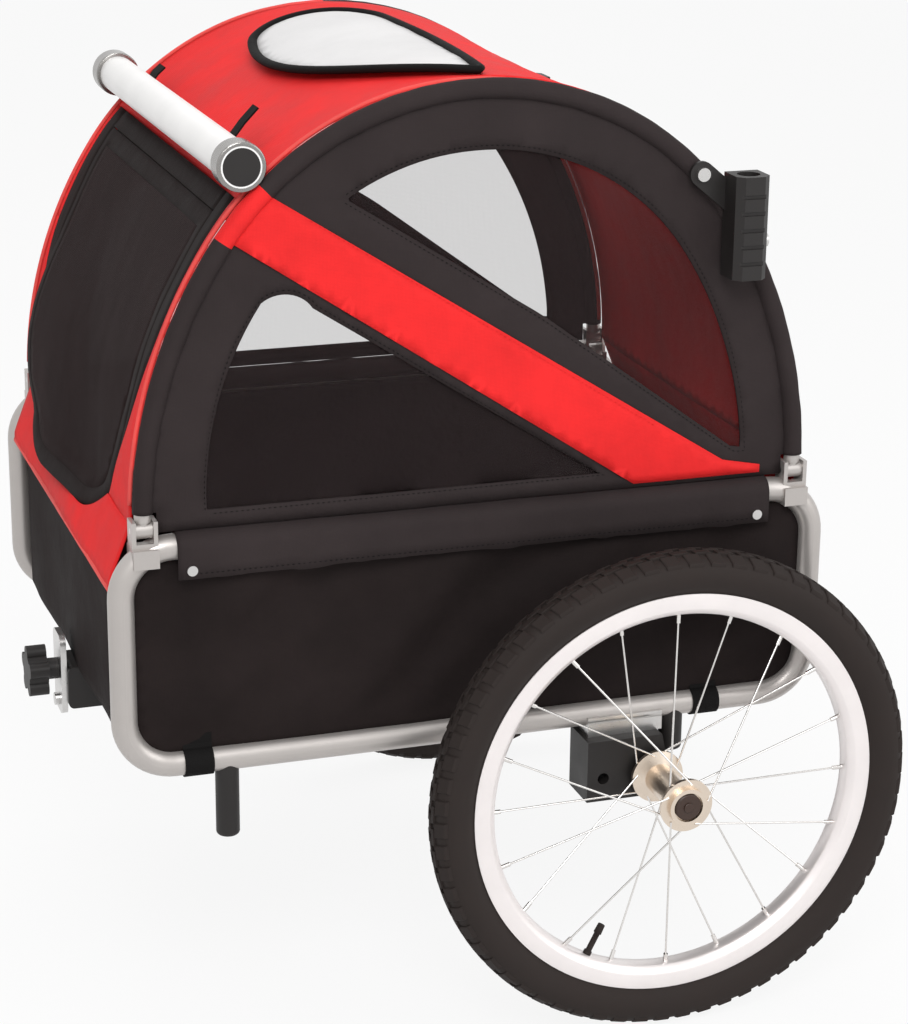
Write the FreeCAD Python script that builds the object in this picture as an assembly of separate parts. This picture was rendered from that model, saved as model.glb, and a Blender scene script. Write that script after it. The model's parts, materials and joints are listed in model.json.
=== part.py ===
"""Two-wheel bicycle trailer for a dog: a low tube frame, folding side arches and sewn covers.

Millimetres. +X is the towing direction, +Y the left side, +Z up, and the ground is z = 0.
The origin lies on the ground, in the middle of the trailer's outline.
"""
import FreeCAD, Part
import math
import os

V = FreeCAD.Vector
ALONG_X = V(1, 0, 0)
ALONG_Y = V(0, 1, 0)
ALONG_Z = V(0, 0, 1)

# Clearances
RUNNING = 0.05          # radial gap of a pin or an axle that turns in its bore
SEAT = 0.3              # gap between pieces that lie against each other
CLOTH_GAP = 0.6         # gap round a sewn flap
OVERCUT = 1.0           # a cutter runs this far past the face it cuts

# Side loops, one bent tube each side
LOOP_LENGTH = 700.0     # between the centre lines of the two uprights
LOOP_BOTTOM = 310.0     # height of the bottom rail's centre line
LOOP_TOP = 527.0        # height of the top rail's centre line
LOOP_BEND = 48.0        # bend radius on the centre line
LOOP_Y = 270.0          # half of the spacing between the loops
TUBE_R = 12.5
TUBE_WALL = 1.5
JOINER_GAP = 80.0       # length of the joiner that shows between the tube's ends
JOINER_PLUG = 45.0      # length of the joiner inside each tube end

# Cross members
CROSS_R = 11.0
CROSS_X = 308.0         # front and rear cross tubes, each side of the middle
HEM_ROD_R = 5.0
HEM_ROD_X = 350.0
HEM_ROD_Z = 488.0

# Cloth tub
CLOTH = 3.0             # thickness of the walls and covers
FLOOR_T = 4.0
FLOOR_INSET = 14.0      # floor's edge inside the centre lines of the loops
WALL_INSET = 4.0        # wall's edge inside the loop's tube
END_WALL_INSET = 28.0   # front and rear walls stop this far inside the loops
SLEEVE_T = 2.0          # sleeve over the top rail
SLEEVE_HALF = 298.0
FLAP_DROP = 28.0        # sleeve's outer flap below the rail's centre line
RIVET_X = 285.0
RIVET_DROP = 20.0
RIVET_R = 2.2
RIVET_HEAD_R = 5.0
RIVET_HEAD_T = 2.0
STRAP_W = 28.0
STRAP_T = 1.6
STRAP_XS = (281.0, -240.0)

# Feet under the bottom rails
FRONT_FOOT_X = 252.0
FRONT_FOOT_R = 11.5
FRONT_FOOT_END = 230.0
REAR_FOOT_X = -207.0
REAR_FOOT_R = 12.0
REAR_FOOT_END = 262.0
FOOT_ROUND = 4.0

# Side arches: a tall three-centred arch, measured over the cloth
ARCH_HALF = 337.0       # half of the length at the springing line
ARCH_RISE = 397.0
ARCH_FOOT = 551.0       # height of the springing line
ARCH_MEET = 33.4        # degrees above the springing line, where the side arcs run into the top arc
HOOP_R = 8.0
HOOP_WALL = 1.5
ARCH_SLEEVE_T = 1.3
PANEL_FOOT = 546.5      # lower edge of the side panel
SLEEVE_GAP = 2.0        # between the sleeve's lower end and the ears that it swings round

# Fold hinge at each end of an arch
PIVOT_UP = 19.0         # pin above the top rail's centre line
PIN_R = 3.0
EAR_T = 4.0
EAR_GAP = 0.2           # between an ear and the knuckle's eye
EAR_HALF_Y = 10.0
EAR_TOP = 10.0          # ear above the pin
SADDLE_HALF_Y = 15.0
SADDLE_LOW = 15.0       # saddle below and above the top rail's centre line
SADDLE_HIGH = 3.0
SLOT_DEPTH = 11.0       # slot between the ears below the pin
FOLD = 116.0            # degrees that the lower arch folds
FOLD_ROOM = 10.4        # from the folded hoop's centre line down to the yoke
PLUG_LENGTH = 30.0

# Windows and stripe of the side panel. Places are shares of the arch's half length and of its rise.
BORDER = 66.0           # sleeve and border round the upper window
BAND_STEEP = 0.5475     # stripe's slope as a share of rise over half length
STRIPE_TOP_AT = (0.6261, 0.7809)
STRIPE_LOW_AT = (0.5282, 0.5340)
STRIPE_T = 1.5
STRIPE_TAIL_AT = -0.8635
STRIPE_TAIL_HIGH = 16.0 # stripe's height above the panel's foot, where it levels out and at its rear end
STRIPE_TAIL_END = 8.0
WINDOW_LOW_LINE = ((0.3917, 0.7229), (-0.1780, 0.4307), (-0.7774, 0.0579))
LOWER_WINDOW = ((0.7923, 0.0227), (0.7537, 0.2872), (0.6320, 0.5063))
LOWER_WINDOW_TOP = (0.5638, 0.5239)
LOWER_WINDOW_REAR = (0.4866, 0.4861)
LOWER_WINDOW_TAIL = (-0.3620, 0.0227)
MESH_T = 1.0
MESH_GAP = 0.4

# Push-bar socket on the rear of each arch
HOOP_BOLT_AT = -0.632   # bolt through the hoop, as a share of the arch's half length
SOCKET_BACK = 41.0      # socket's bore behind that bolt
SOCKET_UP = 0.6         # socket's top above that bolt
SOCKET_LENGTH = 99.0
SOCKET_W = 34.0
SOCKET_DEPTH = 35.0
SOCKET_CHAMFER = 7.0
SOCKET_BORE_R = 11.1
SOCKET_BORE_LENGTH = 70.0
SOCKET_FLANGE_T = 4.0
SOCKET_FLANGE_R = 12.0
SOCKET_FLANGE_DROP = 34.0   # flange's lower end below the bolt
SOCKET_RIB = 2.0        # depth of the grip grooves on the outer face
SOCKET_RIB_PITCH = 16.0
BOLT_R = 3.0
BOLT_HEAD_R = 6.5
BOLT_HEAD_T = 4.5
CLAMP_BOLT_UP = 35.0    # clamp bolt above the socket's lower end

# Spreader bar across the front of the roof
BAR_ANGLE = 46.4        # degrees above +X, from the centre of the roof's arc
BAR_R = 19.0
BAR_WALL = 1.5
COLLAR_R = 23.0
COLLAR_W = 24.0
BAR_OVERHANG = 8.0      # bar's end outside the middle of the hoop
PLUG_CAP_T = 16.0

# Covers between the arches
FRONT_SPLIT = 42.0      # degrees, roof to front cover
REAR_SPLIT = 140.0      # degrees, roof to rear cover
APRON_INSET = 16.0      # lower part of the front and rear covers inside the loops
DOOR_INSET = 50.0       # door's edge inside the loops
DOOR_TOP_AT = 0.7003    # door's top edge as a share of the rise
DOOR_LOW_UP = 24.0      # door's lower edge above the hem rod
DOOR_ROUND = 165.0

# Roof window flap, a leaf outline in plan (x, y)
LEAF_TIP = (0.0, 246.0)
LEAF_END = (52.0, -97.0)    # centre of the round end
LEAF_END_R = 65.0
LEAF_REAR_R = 2000.0
LEAF_FRONT_R = 350.0
LEAF_T = 4.5
BINDING_W = 9.0
BINDING_T = 7.0

# Wheels, 20 inch
AXLE_X = -178.0
AXLE_Z = 250.0
WHEEL_OUT = 75.0        # wheel's plane outside the loop
TYRE_R = 250.0
TYRE_HALF_W = 23.5
TYRE_T = 3.0
TREAD_T = 5.0
CHEEK_IN = 3.0          # side wall's rounding each side of the belly
FLANK_OUT = 2.0
SHOULDER_DROP = 3.0     # tread's edge below its crown
GROOVE_W = 4.0
GROOVE_DEPTH = 2.5
GROOVE_YS = (-7.0, 7.0)
RIM_R = 209.0
RIM_HALF_W = 14.0
RIM_DEPTH = 22.0
RIM_WALL = 2.2
RIM_NOSE_HALF_W = 7.7   # flat inner face of the rim, where the spokes end
BEAD_DEPTH = 7.0
SPOKES = 20
SPOKE_R = 1.0
NIPPLE_R = 2.2
NIPPLE_LENGTH = 11.0
LACE_ANGLE = 48.0       # degrees between a spoke's two ends
SPOKE_CIRCLE_R = 22.0
SPOKE_STEP = 2.6        # leading and trailing spokes lie on the two faces of a flange
NIPPLE_STEP = 2.0       # nipples stand on each side of the rim's middle
HUB_INWARD = 38.0       # hub's ends inside and outside the wheel's plane
HUB_OUTWARD = 44.0
HUB_BARREL_R = 15.0
FLANGE_R = 27.0
FLANGE_T = 4.0
HUB_RECESS_R = 15.0
HUB_BOSS_R = 19.0
HUB_RECESS = 5.0

# Quick-release axles
AXLE_R = 6.0
AXLE_INWARD = 92.0      # axle's inner end inside the wheel's plane
AXLE_HEAD_R = 13.5
AXLE_HEAD_T = 5.0
AXLE_CHAMFER = 1.0
AXLE_LEAD = 3.0         # length of the taper on the axle's inner end
BUTTON_R = 5.0
BUTTON_T = 4.0
BUTTON_PROUD = 1.5
BUTTON_TRAVEL = 3.0
BUTTON_PLAY = 0.1       # radial gap round the button and its stem
BUTTON_CHAMFER = 0.5
STEM_R = 2.5
STEM_LENGTH = 12.0
BUSH_R = 8.5
HOUSING_INWARD = 19.0   # housing's ends inside and outside the loop
HOUSING_OUTWARD = 30.0
HOUSING_FRONT = 71.0    # housing ahead of the axle
HOUSING_TOP_REAR = 8.0
HOUSING_LOW = 24.0      # housing below the axle
HOUSING_ROUND = 17.0
LATCH_HOLE_R = 6.0
LATCH_HOLE_X = 54.0
SADDLE_T = 3.0
SADDLE_PAD_T = 4.0
AXLE_SADDLE_XS = (-191.0, -112.0)

# Hitch under the front wall
HITCH_HALF_Y = 26.0
HITCH_REAR = 282.0
HITCH_FRONT = 358.0
HITCH_LOW = 275.0
HITCH_HIGH = 320.0
HITCH_ROUND = 6.0
PLATE_T = 6.0
PLATE_HALF_Y = 20.0
PLATE_LOW = 266.0
PLATE_HIGH = 352.0
PLATE_BOLT_Z = 278.0
KNOB_Z = 312.0
KNOB_R = 27.0
KNOB_LOBES = 5
KNOB_LOBE_R = 8.0
KNOB_T = 20.0
KNOB_COLLAR_R = 11.0
KNOB_COLLAR_T = 12.0
STUD_R = 4.0
STUD_LENGTH = 40.0
PLATE_BOLT_LENGTH = 38.0

# Worked out from the sizes above
LOOP_X = LOOP_LENGTH / 2
PIVOT_Z = LOOP_TOP + PIVOT_UP
HOOP_INSET = HOOP_R + ARCH_SLEEVE_T + SEAT
HOOP_X = ARCH_HALF - HOOP_INSET
SLEEVE_FOOT = PIVOT_Z + math.hypot(EAR_HALF_Y, EAR_TOP) + SLEEVE_GAP
ARCH_TURN = math.tan(math.radians(45 - ARCH_MEET / 2))
ARCH_SIDE_R = (ARCH_RISE - ARCH_TURN * ARCH_HALF) / (1 - ARCH_TURN)
ARCH_TOP_R = ARCH_SIDE_R - (ARCH_SIDE_R - ARCH_HALF) / math.cos(math.radians(ARCH_MEET))
ARCH_TOP_Z = ARCH_FOOT + ARCH_RISE - ARCH_TOP_R
BAND_SLOPE = BAND_STEEP * ARCH_RISE / ARCH_HALF     # rise of the stripe per unit of length
HOOP_BOLT_X = HOOP_BOLT_AT * ARCH_HALF
HOOP_BOLT_Z = ARCH_TOP_Z + math.sqrt((ARCH_TOP_R - HOOP_INSET)**2 - HOOP_BOLT_X**2)
SOCKET_X = HOOP_BOLT_X - SOCKET_BACK
SOCKET_HIGH = HOOP_BOLT_Z + SOCKET_UP
SOCKET_LOW = SOCKET_HIGH - SOCKET_LENGTH
CLAMP_BOLT_Z = SOCKET_LOW + CLAMP_BOLT_UP
APRON_HALF_Y = LOOP_Y - APRON_INSET
DOOR_HALF_Y = LOOP_Y - DOOR_INSET
DOOR_TOP = ARCH_FOOT + DOOR_TOP_AT * ARCH_RISE
DOOR_LOW = HEM_ROD_Z + DOOR_LOW_UP
WHEEL_Y = LOOP_Y + WHEEL_OUT
HUB_IN = WHEEL_Y - HUB_INWARD
HUB_OUT = WHEEL_Y + HUB_OUTWARD
AXLE_IN = WHEEL_Y - AXLE_INWARD
HOUSING_IN = LOOP_Y - HOUSING_INWARD
HOUSING_OUT = LOOP_Y + HOUSING_OUTWARD
COVER_HALF_Y = LOOP_Y - HOOP_INSET - CLOTH_GAP
FLOOR_Z = LOOP_BOTTOM + CROSS_R + SEAT
KNOB_FRONT = HITCH_FRONT + PLATE_T + SEAT + KNOB_COLLAR_T + KNOB_T
CENTRE_X = (KNOB_FRONT + AXLE_X - TYRE_R) / 2


def side(x, z, y=0.0):
    """Point on a plane that faces sideways."""
    return V(x, y, z)


def on_arch(along, up):
    """Point on the side, by shares of the arch's half length and rise."""
    return side(ARCH_HALF * along, ARCH_FOOT + ARCH_RISE * up)


def solid_between(wire, start_y, end_y):
    """Flat outline at y = 0 as a plate between two places across the trailer."""
    face = Part.Face(wire)
    face.translate(V(0, start_y, 0))
    return face.extrude(V(0, end_y - start_y, 0))


def box(x0, x1, y0, y1, z0, z1):
    return Part.makeBox(x1 - x0, y1 - y0, z1 - z0, V(x0, y0, z0))


def rod(radius, start, end):
    return Part.makeCylinder(radius, (end - start).Length, start, end - start)


def pipe(edges, radius):
    """Round bar along a smooth path."""
    path = Part.Wire(edges)
    start = edges[0].Vertexes[0].Point
    tangent = edges[0].tangentAt(edges[0].FirstParameter)
    ring = Part.Wire([Part.makeCircle(radius, start, tangent)])
    return path.makePipeShell([ring], True, True)


def tube(edges, radius, wall):
    return pipe(edges, radius).cut(pipe(edges, radius - wall))


def mirrored(shape):
    """The same piece on the right side."""
    return shape.mirror(V(0, 0, 0), ALONG_Y)


def both_sides(shape):
    return [shape, mirrored(shape)]


def group(shapes):
    return Part.makeCompound(shapes)


def save(name, shape):
    shape = shape.copy()
    shape.translate(V(-CENTRE_X, 0, 0))
    shape.exportStep("parts/" + name + ".step")


def arc(centre, radius, start_deg, end_deg, y=0.0):
    """Arc on a sideways plane, by angles above +X."""
    def at(degrees):
        turn = math.radians(degrees)
        return side(centre[0] + radius * math.cos(turn), centre[1] + radius * math.sin(turn), y)
    return Part.Arc(at(start_deg), at((start_deg + end_deg) / 2), at(end_deg)).toShape()


def arch_edges(inset, foot_z, y=0.0):
    """Three-centred arch inside the cloth's outline, front foot to rear foot."""
    lean = ARCH_SIDE_R - ARCH_HALF
    meet = ARCH_MEET
    side_r = ARCH_SIDE_R - inset
    half = ARCH_HALF - inset
    front_leg = Part.makeLine(side(half, foot_z, y), side(half, ARCH_FOOT, y))
    rear_leg = Part.makeLine(side(-half, ARCH_FOOT, y), side(-half, foot_z, y))
    return [
        front_leg,
        arc((-lean, ARCH_FOOT), side_r, 0, meet, y),
        arc((0, ARCH_TOP_Z), ARCH_TOP_R - inset, meet, 180 - meet, y),
        arc((lean, ARCH_FOOT), side_r, 180 - meet, 180, y),
        rear_leg,
    ]


def arch_wire(inset, foot_z):
    half = ARCH_HALF - inset
    sill = Part.makeLine(side(-half, foot_z), side(half, foot_z))
    return Part.Wire(arch_edges(inset, foot_z) + [sill])


def arch_band(outer_inset, inner_inset, half_y):
    """Curved sheet between the arches, from the front foot over the roof to the rear foot."""
    outer = solid_between(arch_wire(outer_inset, PANEL_FOOT), -half_y, half_y)
    inner = solid_between(arch_wire(inner_inset, PANEL_FOOT - OVERCUT), -half_y - OVERCUT, half_y + OVERCUT)
    return outer.cut(inner)


def loop_edges():
    """Centre line of the left loop, from the joiner's front end round to its rear end."""
    x, low, high, bend = LOOP_X, LOOP_BOTTOM, LOOP_TOP, LOOP_BEND
    end = JOINER_GAP / 2

    def line(x0, z0, x1, z1):
        return Part.makeLine(side(x0, z0, LOOP_Y), side(x1, z1, LOOP_Y))

    return [
        line(end, high, x - bend, high),
        arc((x - bend, high - bend), bend, 90, 0, LOOP_Y),
        line(x, high - bend, x, low + bend),
        arc((x - bend, low + bend), bend, 0, -90, LOOP_Y),
        line(x - bend, low, -x + bend, low),
        arc((-x + bend, low + bend), bend, -90, -180, LOOP_Y),
        line(-x, low + bend, -x, high - bend),
        arc((-x + bend, high - bend), bend, 180, 90, LOOP_Y),
        line(-x + bend, high, -end, high),
    ]


def loop():
    return tube(loop_edges(), TUBE_R, TUBE_WALL)


def loop_space():
    """Room that the left loop takes, with the gap that its neighbours keep."""
    return pipe(loop_edges(), TUBE_R + SEAT)


def rail_joiner():
    """Plug that joins the two ends of the bent tube in the middle of the top rail."""
    plug_r = TUBE_R - TUBE_WALL - RUNNING
    end = JOINER_GAP / 2
    middle = rod(TUBE_R, side(-end, LOOP_TOP, LOOP_Y), side(end, LOOP_TOP, LOOP_Y))
    reach = end + JOINER_PLUG
    plug = rod(plug_r, side(-reach, LOOP_TOP, LOOP_Y), side(reach, LOOP_TOP, LOOP_Y))
    return middle.fuse(plug)


def cross_tube(x):
    """Tube between the bottom rails, with its ends cut to the rails' round."""
    ends = V(x, -LOOP_Y, LOOP_BOTTOM), V(x, LOOP_Y, LOOP_BOTTOM)
    outer = rod(CROSS_R, *ends)
    bore = rod(CROSS_R - TUBE_WALL, *ends)
    shape = outer.cut(bore)
    for space in both_sides(pipe(loop_edges(), TUBE_R + RUNNING)):
        shape = shape.cut(space)
    return max(shape.Solids, key=lambda solid: solid.Volume)


def hem_rod(x):
    """Rod between the uprights that the cover's hem and the end wall hang on."""
    reach = LOOP_Y - TUBE_R - RUNNING
    return rod(HEM_ROD_R, V(x, -reach, HEM_ROD_Z), V(x, reach, HEM_ROD_Z))


def floor_board():
    half_x = LOOP_X - FLOOR_INSET / 2
    half_y = LOOP_Y - FLOOR_INSET
    board = box(-half_x, half_x, -half_y, half_y, FLOOR_Z, FLOOR_Z + FLOOR_T)
    for space in both_sides(loop_space()):
        board = board.cut(space)
    return board


def side_wall():
    """Cloth wall that fills the left loop below the top rail."""
    half = LOOP_X - TUBE_R - WALL_INSET
    low = LOOP_BOTTOM + TUBE_R + WALL_INSET
    high = LOOP_TOP - TUBE_R - SEAT
    round_r = LOOP_BEND - TUBE_R - WALL_INSET
    wall = box(-half, half, LOOP_Y - CLOTH / 2, LOOP_Y + CLOTH / 2, low, high)
    corners = [edge for edge in wall.Edges if edge.Length < CLOTH * 1.01]
    return wall.makeFillet(round_r, corners)


def end_wall():
    """Front wall from the floor to the hem rod, turned in at its ends to meet the side walls."""
    x = LOOP_X - CLOTH / 2
    half_y = LOOP_Y - END_WALL_INSET
    low = FLOOR_Z + FLOOR_T + SEAT
    high = HEM_ROD_Z - HEM_ROD_R - SEAT
    corner_x = LOOP_X - TUBE_R - WALL_INSET
    corner_y = LOOP_Y - CLOTH / 2 - SEAT
    outline = [(x, -half_y), (x, half_y), (corner_x, corner_y), (corner_x - CLOTH, corner_y),
               (x - CLOTH, half_y - CLOTH / 2), (x - CLOTH, -half_y + CLOTH / 2),
               (corner_x - CLOTH, -corner_y), (corner_x, -corner_y), (x, -half_y)]
    face = Part.Face(Part.makePolygon([V(px, py, low) for px, py in outline]))
    wall = face.extrude(V(0, 0, high - low))
    for space in both_sides(loop_space()):
        wall = wall.cut(space)
    return wall


def half_ring(inner_r, outer_r, x0, x1, z):
    """Upper half of a ring round a rail of the left loop."""
    ring = rod(outer_r, side(x0, z, LOOP_Y), side(x1, z, LOOP_Y))
    ring = ring.cut(rod(inner_r, side(x0, z, LOOP_Y), side(x1, z, LOOP_Y)))
    return ring.common(box(x0, x1, LOOP_Y - 2 * outer_r, LOOP_Y + 2 * outer_r, z, z + 2 * outer_r))


def rivet_places():
    return [side(x, LOOP_TOP - RIVET_DROP) for x in (-RIVET_X, RIVET_X)]


def flap_y():
    """Inner and outer faces of the sleeve's flap outside the top rail."""
    inner = LOOP_Y + TUBE_R + SEAT
    return inner, inner + SLEEVE_T


def top_sleeve():
    """Cloth over the top rail, with a flap down its outer side that the rivets hold."""
    inner_r = TUBE_R + SEAT
    sleeve = half_ring(inner_r, inner_r + SLEEVE_T, -SLEEVE_HALF, SLEEVE_HALF, LOOP_TOP)
    inner_y, outer_y = flap_y()
    flap = box(-SLEEVE_HALF, SLEEVE_HALF, inner_y, outer_y, LOOP_TOP - FLAP_DROP, LOOP_TOP)
    sleeve = sleeve.fuse(flap).removeSplitter()
    for place in rivet_places():
        start, end = place + ALONG_Y * inner_y, place + ALONG_Y * (outer_y + OVERCUT)
        sleeve = sleeve.cut(rod(RIVET_R + RUNNING, start, end))
    return sleeve


def rivets():
    outer_y = flap_y()[1]
    wall_y = LOOP_Y + CLOTH / 2
    shapes = []
    for place in rivet_places():
        shank = rod(RIVET_R, place + ALONG_Y * wall_y, place + ALONG_Y * (outer_y + RIVET_HEAD_T))
        head = rod(RIVET_HEAD_R, place + ALONG_Y * outer_y, place + ALONG_Y * (outer_y + RIVET_HEAD_T))
        shapes.append(shank.fuse(head))
    return shapes


def rail_strap(x):
    """Webbing loop from the wall's lower edge round the bottom rail."""
    inner_r = TUBE_R + SEAT
    x0, x1 = x - STRAP_W / 2, x + STRAP_W / 2
    start, end = side(x0, LOOP_BOTTOM, LOOP_Y), side(x1, LOOP_BOTTOM, LOOP_Y)
    tab_half = CLOTH / 2
    wall_low = LOOP_BOTTOM + TUBE_R + WALL_INSET
    tab = box(x0, x1, LOOP_Y - tab_half, LOOP_Y + tab_half, LOOP_BOTTOM, wall_low)
    ring = rod(inner_r + STRAP_T, start, end).fuse(tab)
    return ring.cut(rod(inner_r, start, end))


def foot(x, radius, end_z):
    """Post under the bottom rail, rounded below and cut to the rail above."""
    post = rod(radius, side(x, end_z, LOOP_Y), side(x, LOOP_BOTTOM, LOOP_Y))
    low_edge = [edge for edge in post.Edges if edge.BoundBox.ZMax < end_z + FOOT_ROUND / 2]
    post = post.makeFillet(FOOT_ROUND, low_edge)
    reach = 2 * radius
    rail = rod(TUBE_R + RUNNING, side(x - reach, LOOP_BOTTOM, LOOP_Y), side(x + reach, LOOP_BOTTOM, LOOP_Y))
    return post.cut(rail)


def hinge_yoke(x):
    """Saddle on the loop's bend with two ears that hold the fold pin."""
    half = HOOP_R + EAR_GAP + EAR_T
    ears = box(x - half, x + half, LOOP_Y - EAR_HALF_Y, LOOP_Y + EAR_HALF_Y, LOOP_TOP, PIVOT_Z + EAR_TOP)
    saddle = box(x - half, x + half, LOOP_Y - SADDLE_HALF_Y, LOOP_Y + SADDLE_HALF_Y,
                 LOOP_TOP - SADDLE_LOW, LOOP_TOP + SADDLE_HIGH)
    slot_half = half - EAR_T
    slot = box(x - slot_half, x + slot_half, LOOP_Y - SADDLE_HALF_Y, LOOP_Y + SADDLE_HALF_Y,
               PIVOT_Z - SLOT_DEPTH, PIVOT_Z + 2 * EAR_TOP)
    relief = box(x - slot_half, x + slot_half, LOOP_Y - 2 * SADDLE_HALF_Y, LOOP_Y,
                 PIVOT_Z - FOLD_ROOM, PIVOT_Z)
    relief.rotate(side(x, PIVOT_Z, LOOP_Y), FreeCAD.Vector(1, 0, 0), FOLD - 90)
    bore = rod(PIN_R + RUNNING, side(x - 2 * half, PIVOT_Z, LOOP_Y), side(x + 2 * half, PIVOT_Z, LOOP_Y))
    yoke = ears.fuse(saddle).cut(slot).cut(relief).cut(bore).cut(pipe(loop_edges(), TUBE_R + RUNNING))
    return max(yoke.Solids, key=lambda solid: solid.Volume)


def hinge_pin(x):
    half = HOOP_R + EAR_GAP + EAR_T
    return rod(PIN_R, side(x - half, PIVOT_Z, LOOP_Y), side(x + half, PIVOT_Z, LOOP_Y))


def knuckle(x):
    """Eye on the fold pin with a plug that goes up into the hoop."""
    eye = rod(HOOP_R, side(x - HOOP_R, PIVOT_Z, LOOP_Y), side(x + HOOP_R, PIVOT_Z, LOOP_Y))
    bent_plug = pipe(arch_edges(HOOP_INSET, PIVOT_Z, LOOP_Y), HOOP_R - HOOP_WALL - RUNNING)
    reach = 2 * HOOP_R
    plug_end = box(x - reach, x + reach, LOOP_Y - reach, LOOP_Y + reach, PIVOT_Z, PIVOT_Z + PLUG_LENGTH)
    bore = rod(PIN_R + RUNNING, side(x - reach, PIVOT_Z, LOOP_Y), side(x + reach, PIVOT_Z, LOOP_Y))
    return eye.fuse(bent_plug.common(plug_end)).cut(bore)


def hoop_bolt_space():
    start = side(HOOP_BOLT_X, HOOP_BOLT_Z, 0)
    reach = SOCKET_DEPTH
    return rod(BOLT_R + RUNNING, start + ALONG_Y * (LOOP_Y - reach), start + ALONG_Y * (LOOP_Y + reach))


def hoop():
    """Bent tube of the left arch, cut off just above the eyes of its knuckles."""
    reach = 2 * HOOP_R
    eyes = box(-ARCH_HALF, ARCH_HALF, LOOP_Y - reach, LOOP_Y + reach,
               PIVOT_Z - reach, PIVOT_Z + HOOP_R + SEAT)
    bent = tube(arch_edges(HOOP_INSET, PIVOT_Z, LOOP_Y), HOOP_R, HOOP_WALL)
    return bent.cut(eyes).cut(hoop_bolt_space())


def stripe_height(x, line):
    """Height of one edge of the slanting stripe, from a point on it."""
    return line.z - BAND_SLOPE * (line.x - x)


def upper_window(margin):
    """Opening between the border and the stripe, drawn in by a margin."""
    front, middle, rear = [on_arch(*place) + ALONG_Z * margin for place in WINDOW_LOW_LINE]
    reach = ARCH_RISE
    outline = [side(front.x + reach, front.z + BAND_SLOPE * reach), middle, rear,
               side(rear.x - reach, rear.z), side(rear.x - reach, rear.z + 2 * reach),
               side(front.x + reach, rear.z + 2 * reach)]
    above = Part.makePolygon(outline + outline[:1])
    field = solid_between(arch_wire(BORDER + margin, PANEL_FOOT), LOOP_Y - CLOTH, LOOP_Y + CLOTH)
    return field.common(solid_between(above, LOOP_Y - CLOTH, LOOP_Y + CLOTH))


def lower_window(margin):
    """Three-sided opening below the stripe, rounded at its top, drawn in by a margin."""
    low, middle, shoulder = [on_arch(*place) for place in LOWER_WINDOW]
    top = on_arch(*LOWER_WINDOW_TOP)
    rear = on_arch(*LOWER_WINDOW_REAR)
    tail = on_arch(*LOWER_WINDOW_TAIL)
    wire = Part.Wire([
        Part.Arc(low, middle, shoulder).toShape(),
        Part.Arc(shoulder, top, rear).toShape(),
        Part.makeLine(rear, tail),
        Part.makeLine(tail, low),
    ])
    if margin:
        wire = wire.makeOffset2D(-margin)
    return solid_between(wire, LOOP_Y - CLOTH, LOOP_Y + CLOTH)


def side_panel():
    """Border cloth of the left arch, with its sleeve round the hoop and its two openings."""
    panel = solid_between(arch_wire(HOOP_INSET, PANEL_FOOT), LOOP_Y - CLOTH / 2, LOOP_Y + CLOTH / 2)
    path = arch_edges(HOOP_INSET, PANEL_FOOT, LOOP_Y)
    sleeve = pipe(path, HOOP_R + SEAT + ARCH_SLEEVE_T)
    keep_out = HOOP_R + EAR_GAP + EAR_T + SEAT
    panel = panel.fuse(sleeve).cut(pipe(arch_edges(HOOP_INSET, PANEL_FOOT - OVERCUT, LOOP_Y), HOOP_R + SEAT))
    reach = 2 * HOOP_INSET
    for x in (-HOOP_X, HOOP_X):
        panel = panel.cut(box(x - keep_out, x + keep_out, LOOP_Y - reach, LOOP_Y + reach,
                              PANEL_FOOT - reach, SLEEVE_FOOT))
    return panel.cut(upper_window(0)).cut(lower_window(0)).cut(hoop_bolt_space())


def meshes():
    """Window nets, in the middle of the border cloth's thickness."""
    layer = box(-LOOP_X, LOOP_X, LOOP_Y - MESH_T / 2, LOOP_Y + MESH_T / 2, 0, ARCH_FOOT + ARCH_RISE)
    return [upper_window(MESH_GAP).common(layer), lower_window(MESH_GAP).common(layer)]


def stripe():
    """Band sewn over the panel's outer face, from the front edge down to the rear corner."""
    start_y = LOOP_Y + CLOTH / 2
    foot_z = PANEL_FOOT + SEAT
    reach = ARCH_HALF
    tail_z = foot_z + STRIPE_TAIL_HIGH
    tail_x = STRIPE_TAIL_AT * ARCH_HALF
    top, low = on_arch(*STRIPE_TOP_AT), on_arch(*STRIPE_LOW_AT)
    outline = [side(reach, stripe_height(reach, top)), side(top.x - (top.z - tail_z) / BAND_SLOPE, tail_z),
               side(tail_x, foot_z + STRIPE_TAIL_END), side(tail_x, foot_z),
               side(low.x - (low.z - foot_z) / BAND_SLOPE, foot_z), low,
               side(reach, stripe_height(reach, low))]
    band = solid_between(Part.makePolygon(outline + outline[:1]), start_y, start_y + STRIPE_T)
    field = arch_wire(2 * HOOP_INSET + SEAT, PANEL_FOOT)
    inside = solid_between(field, start_y - OVERCUT, start_y + STRIPE_T + OVERCUT)
    return band.common(inside)


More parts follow.
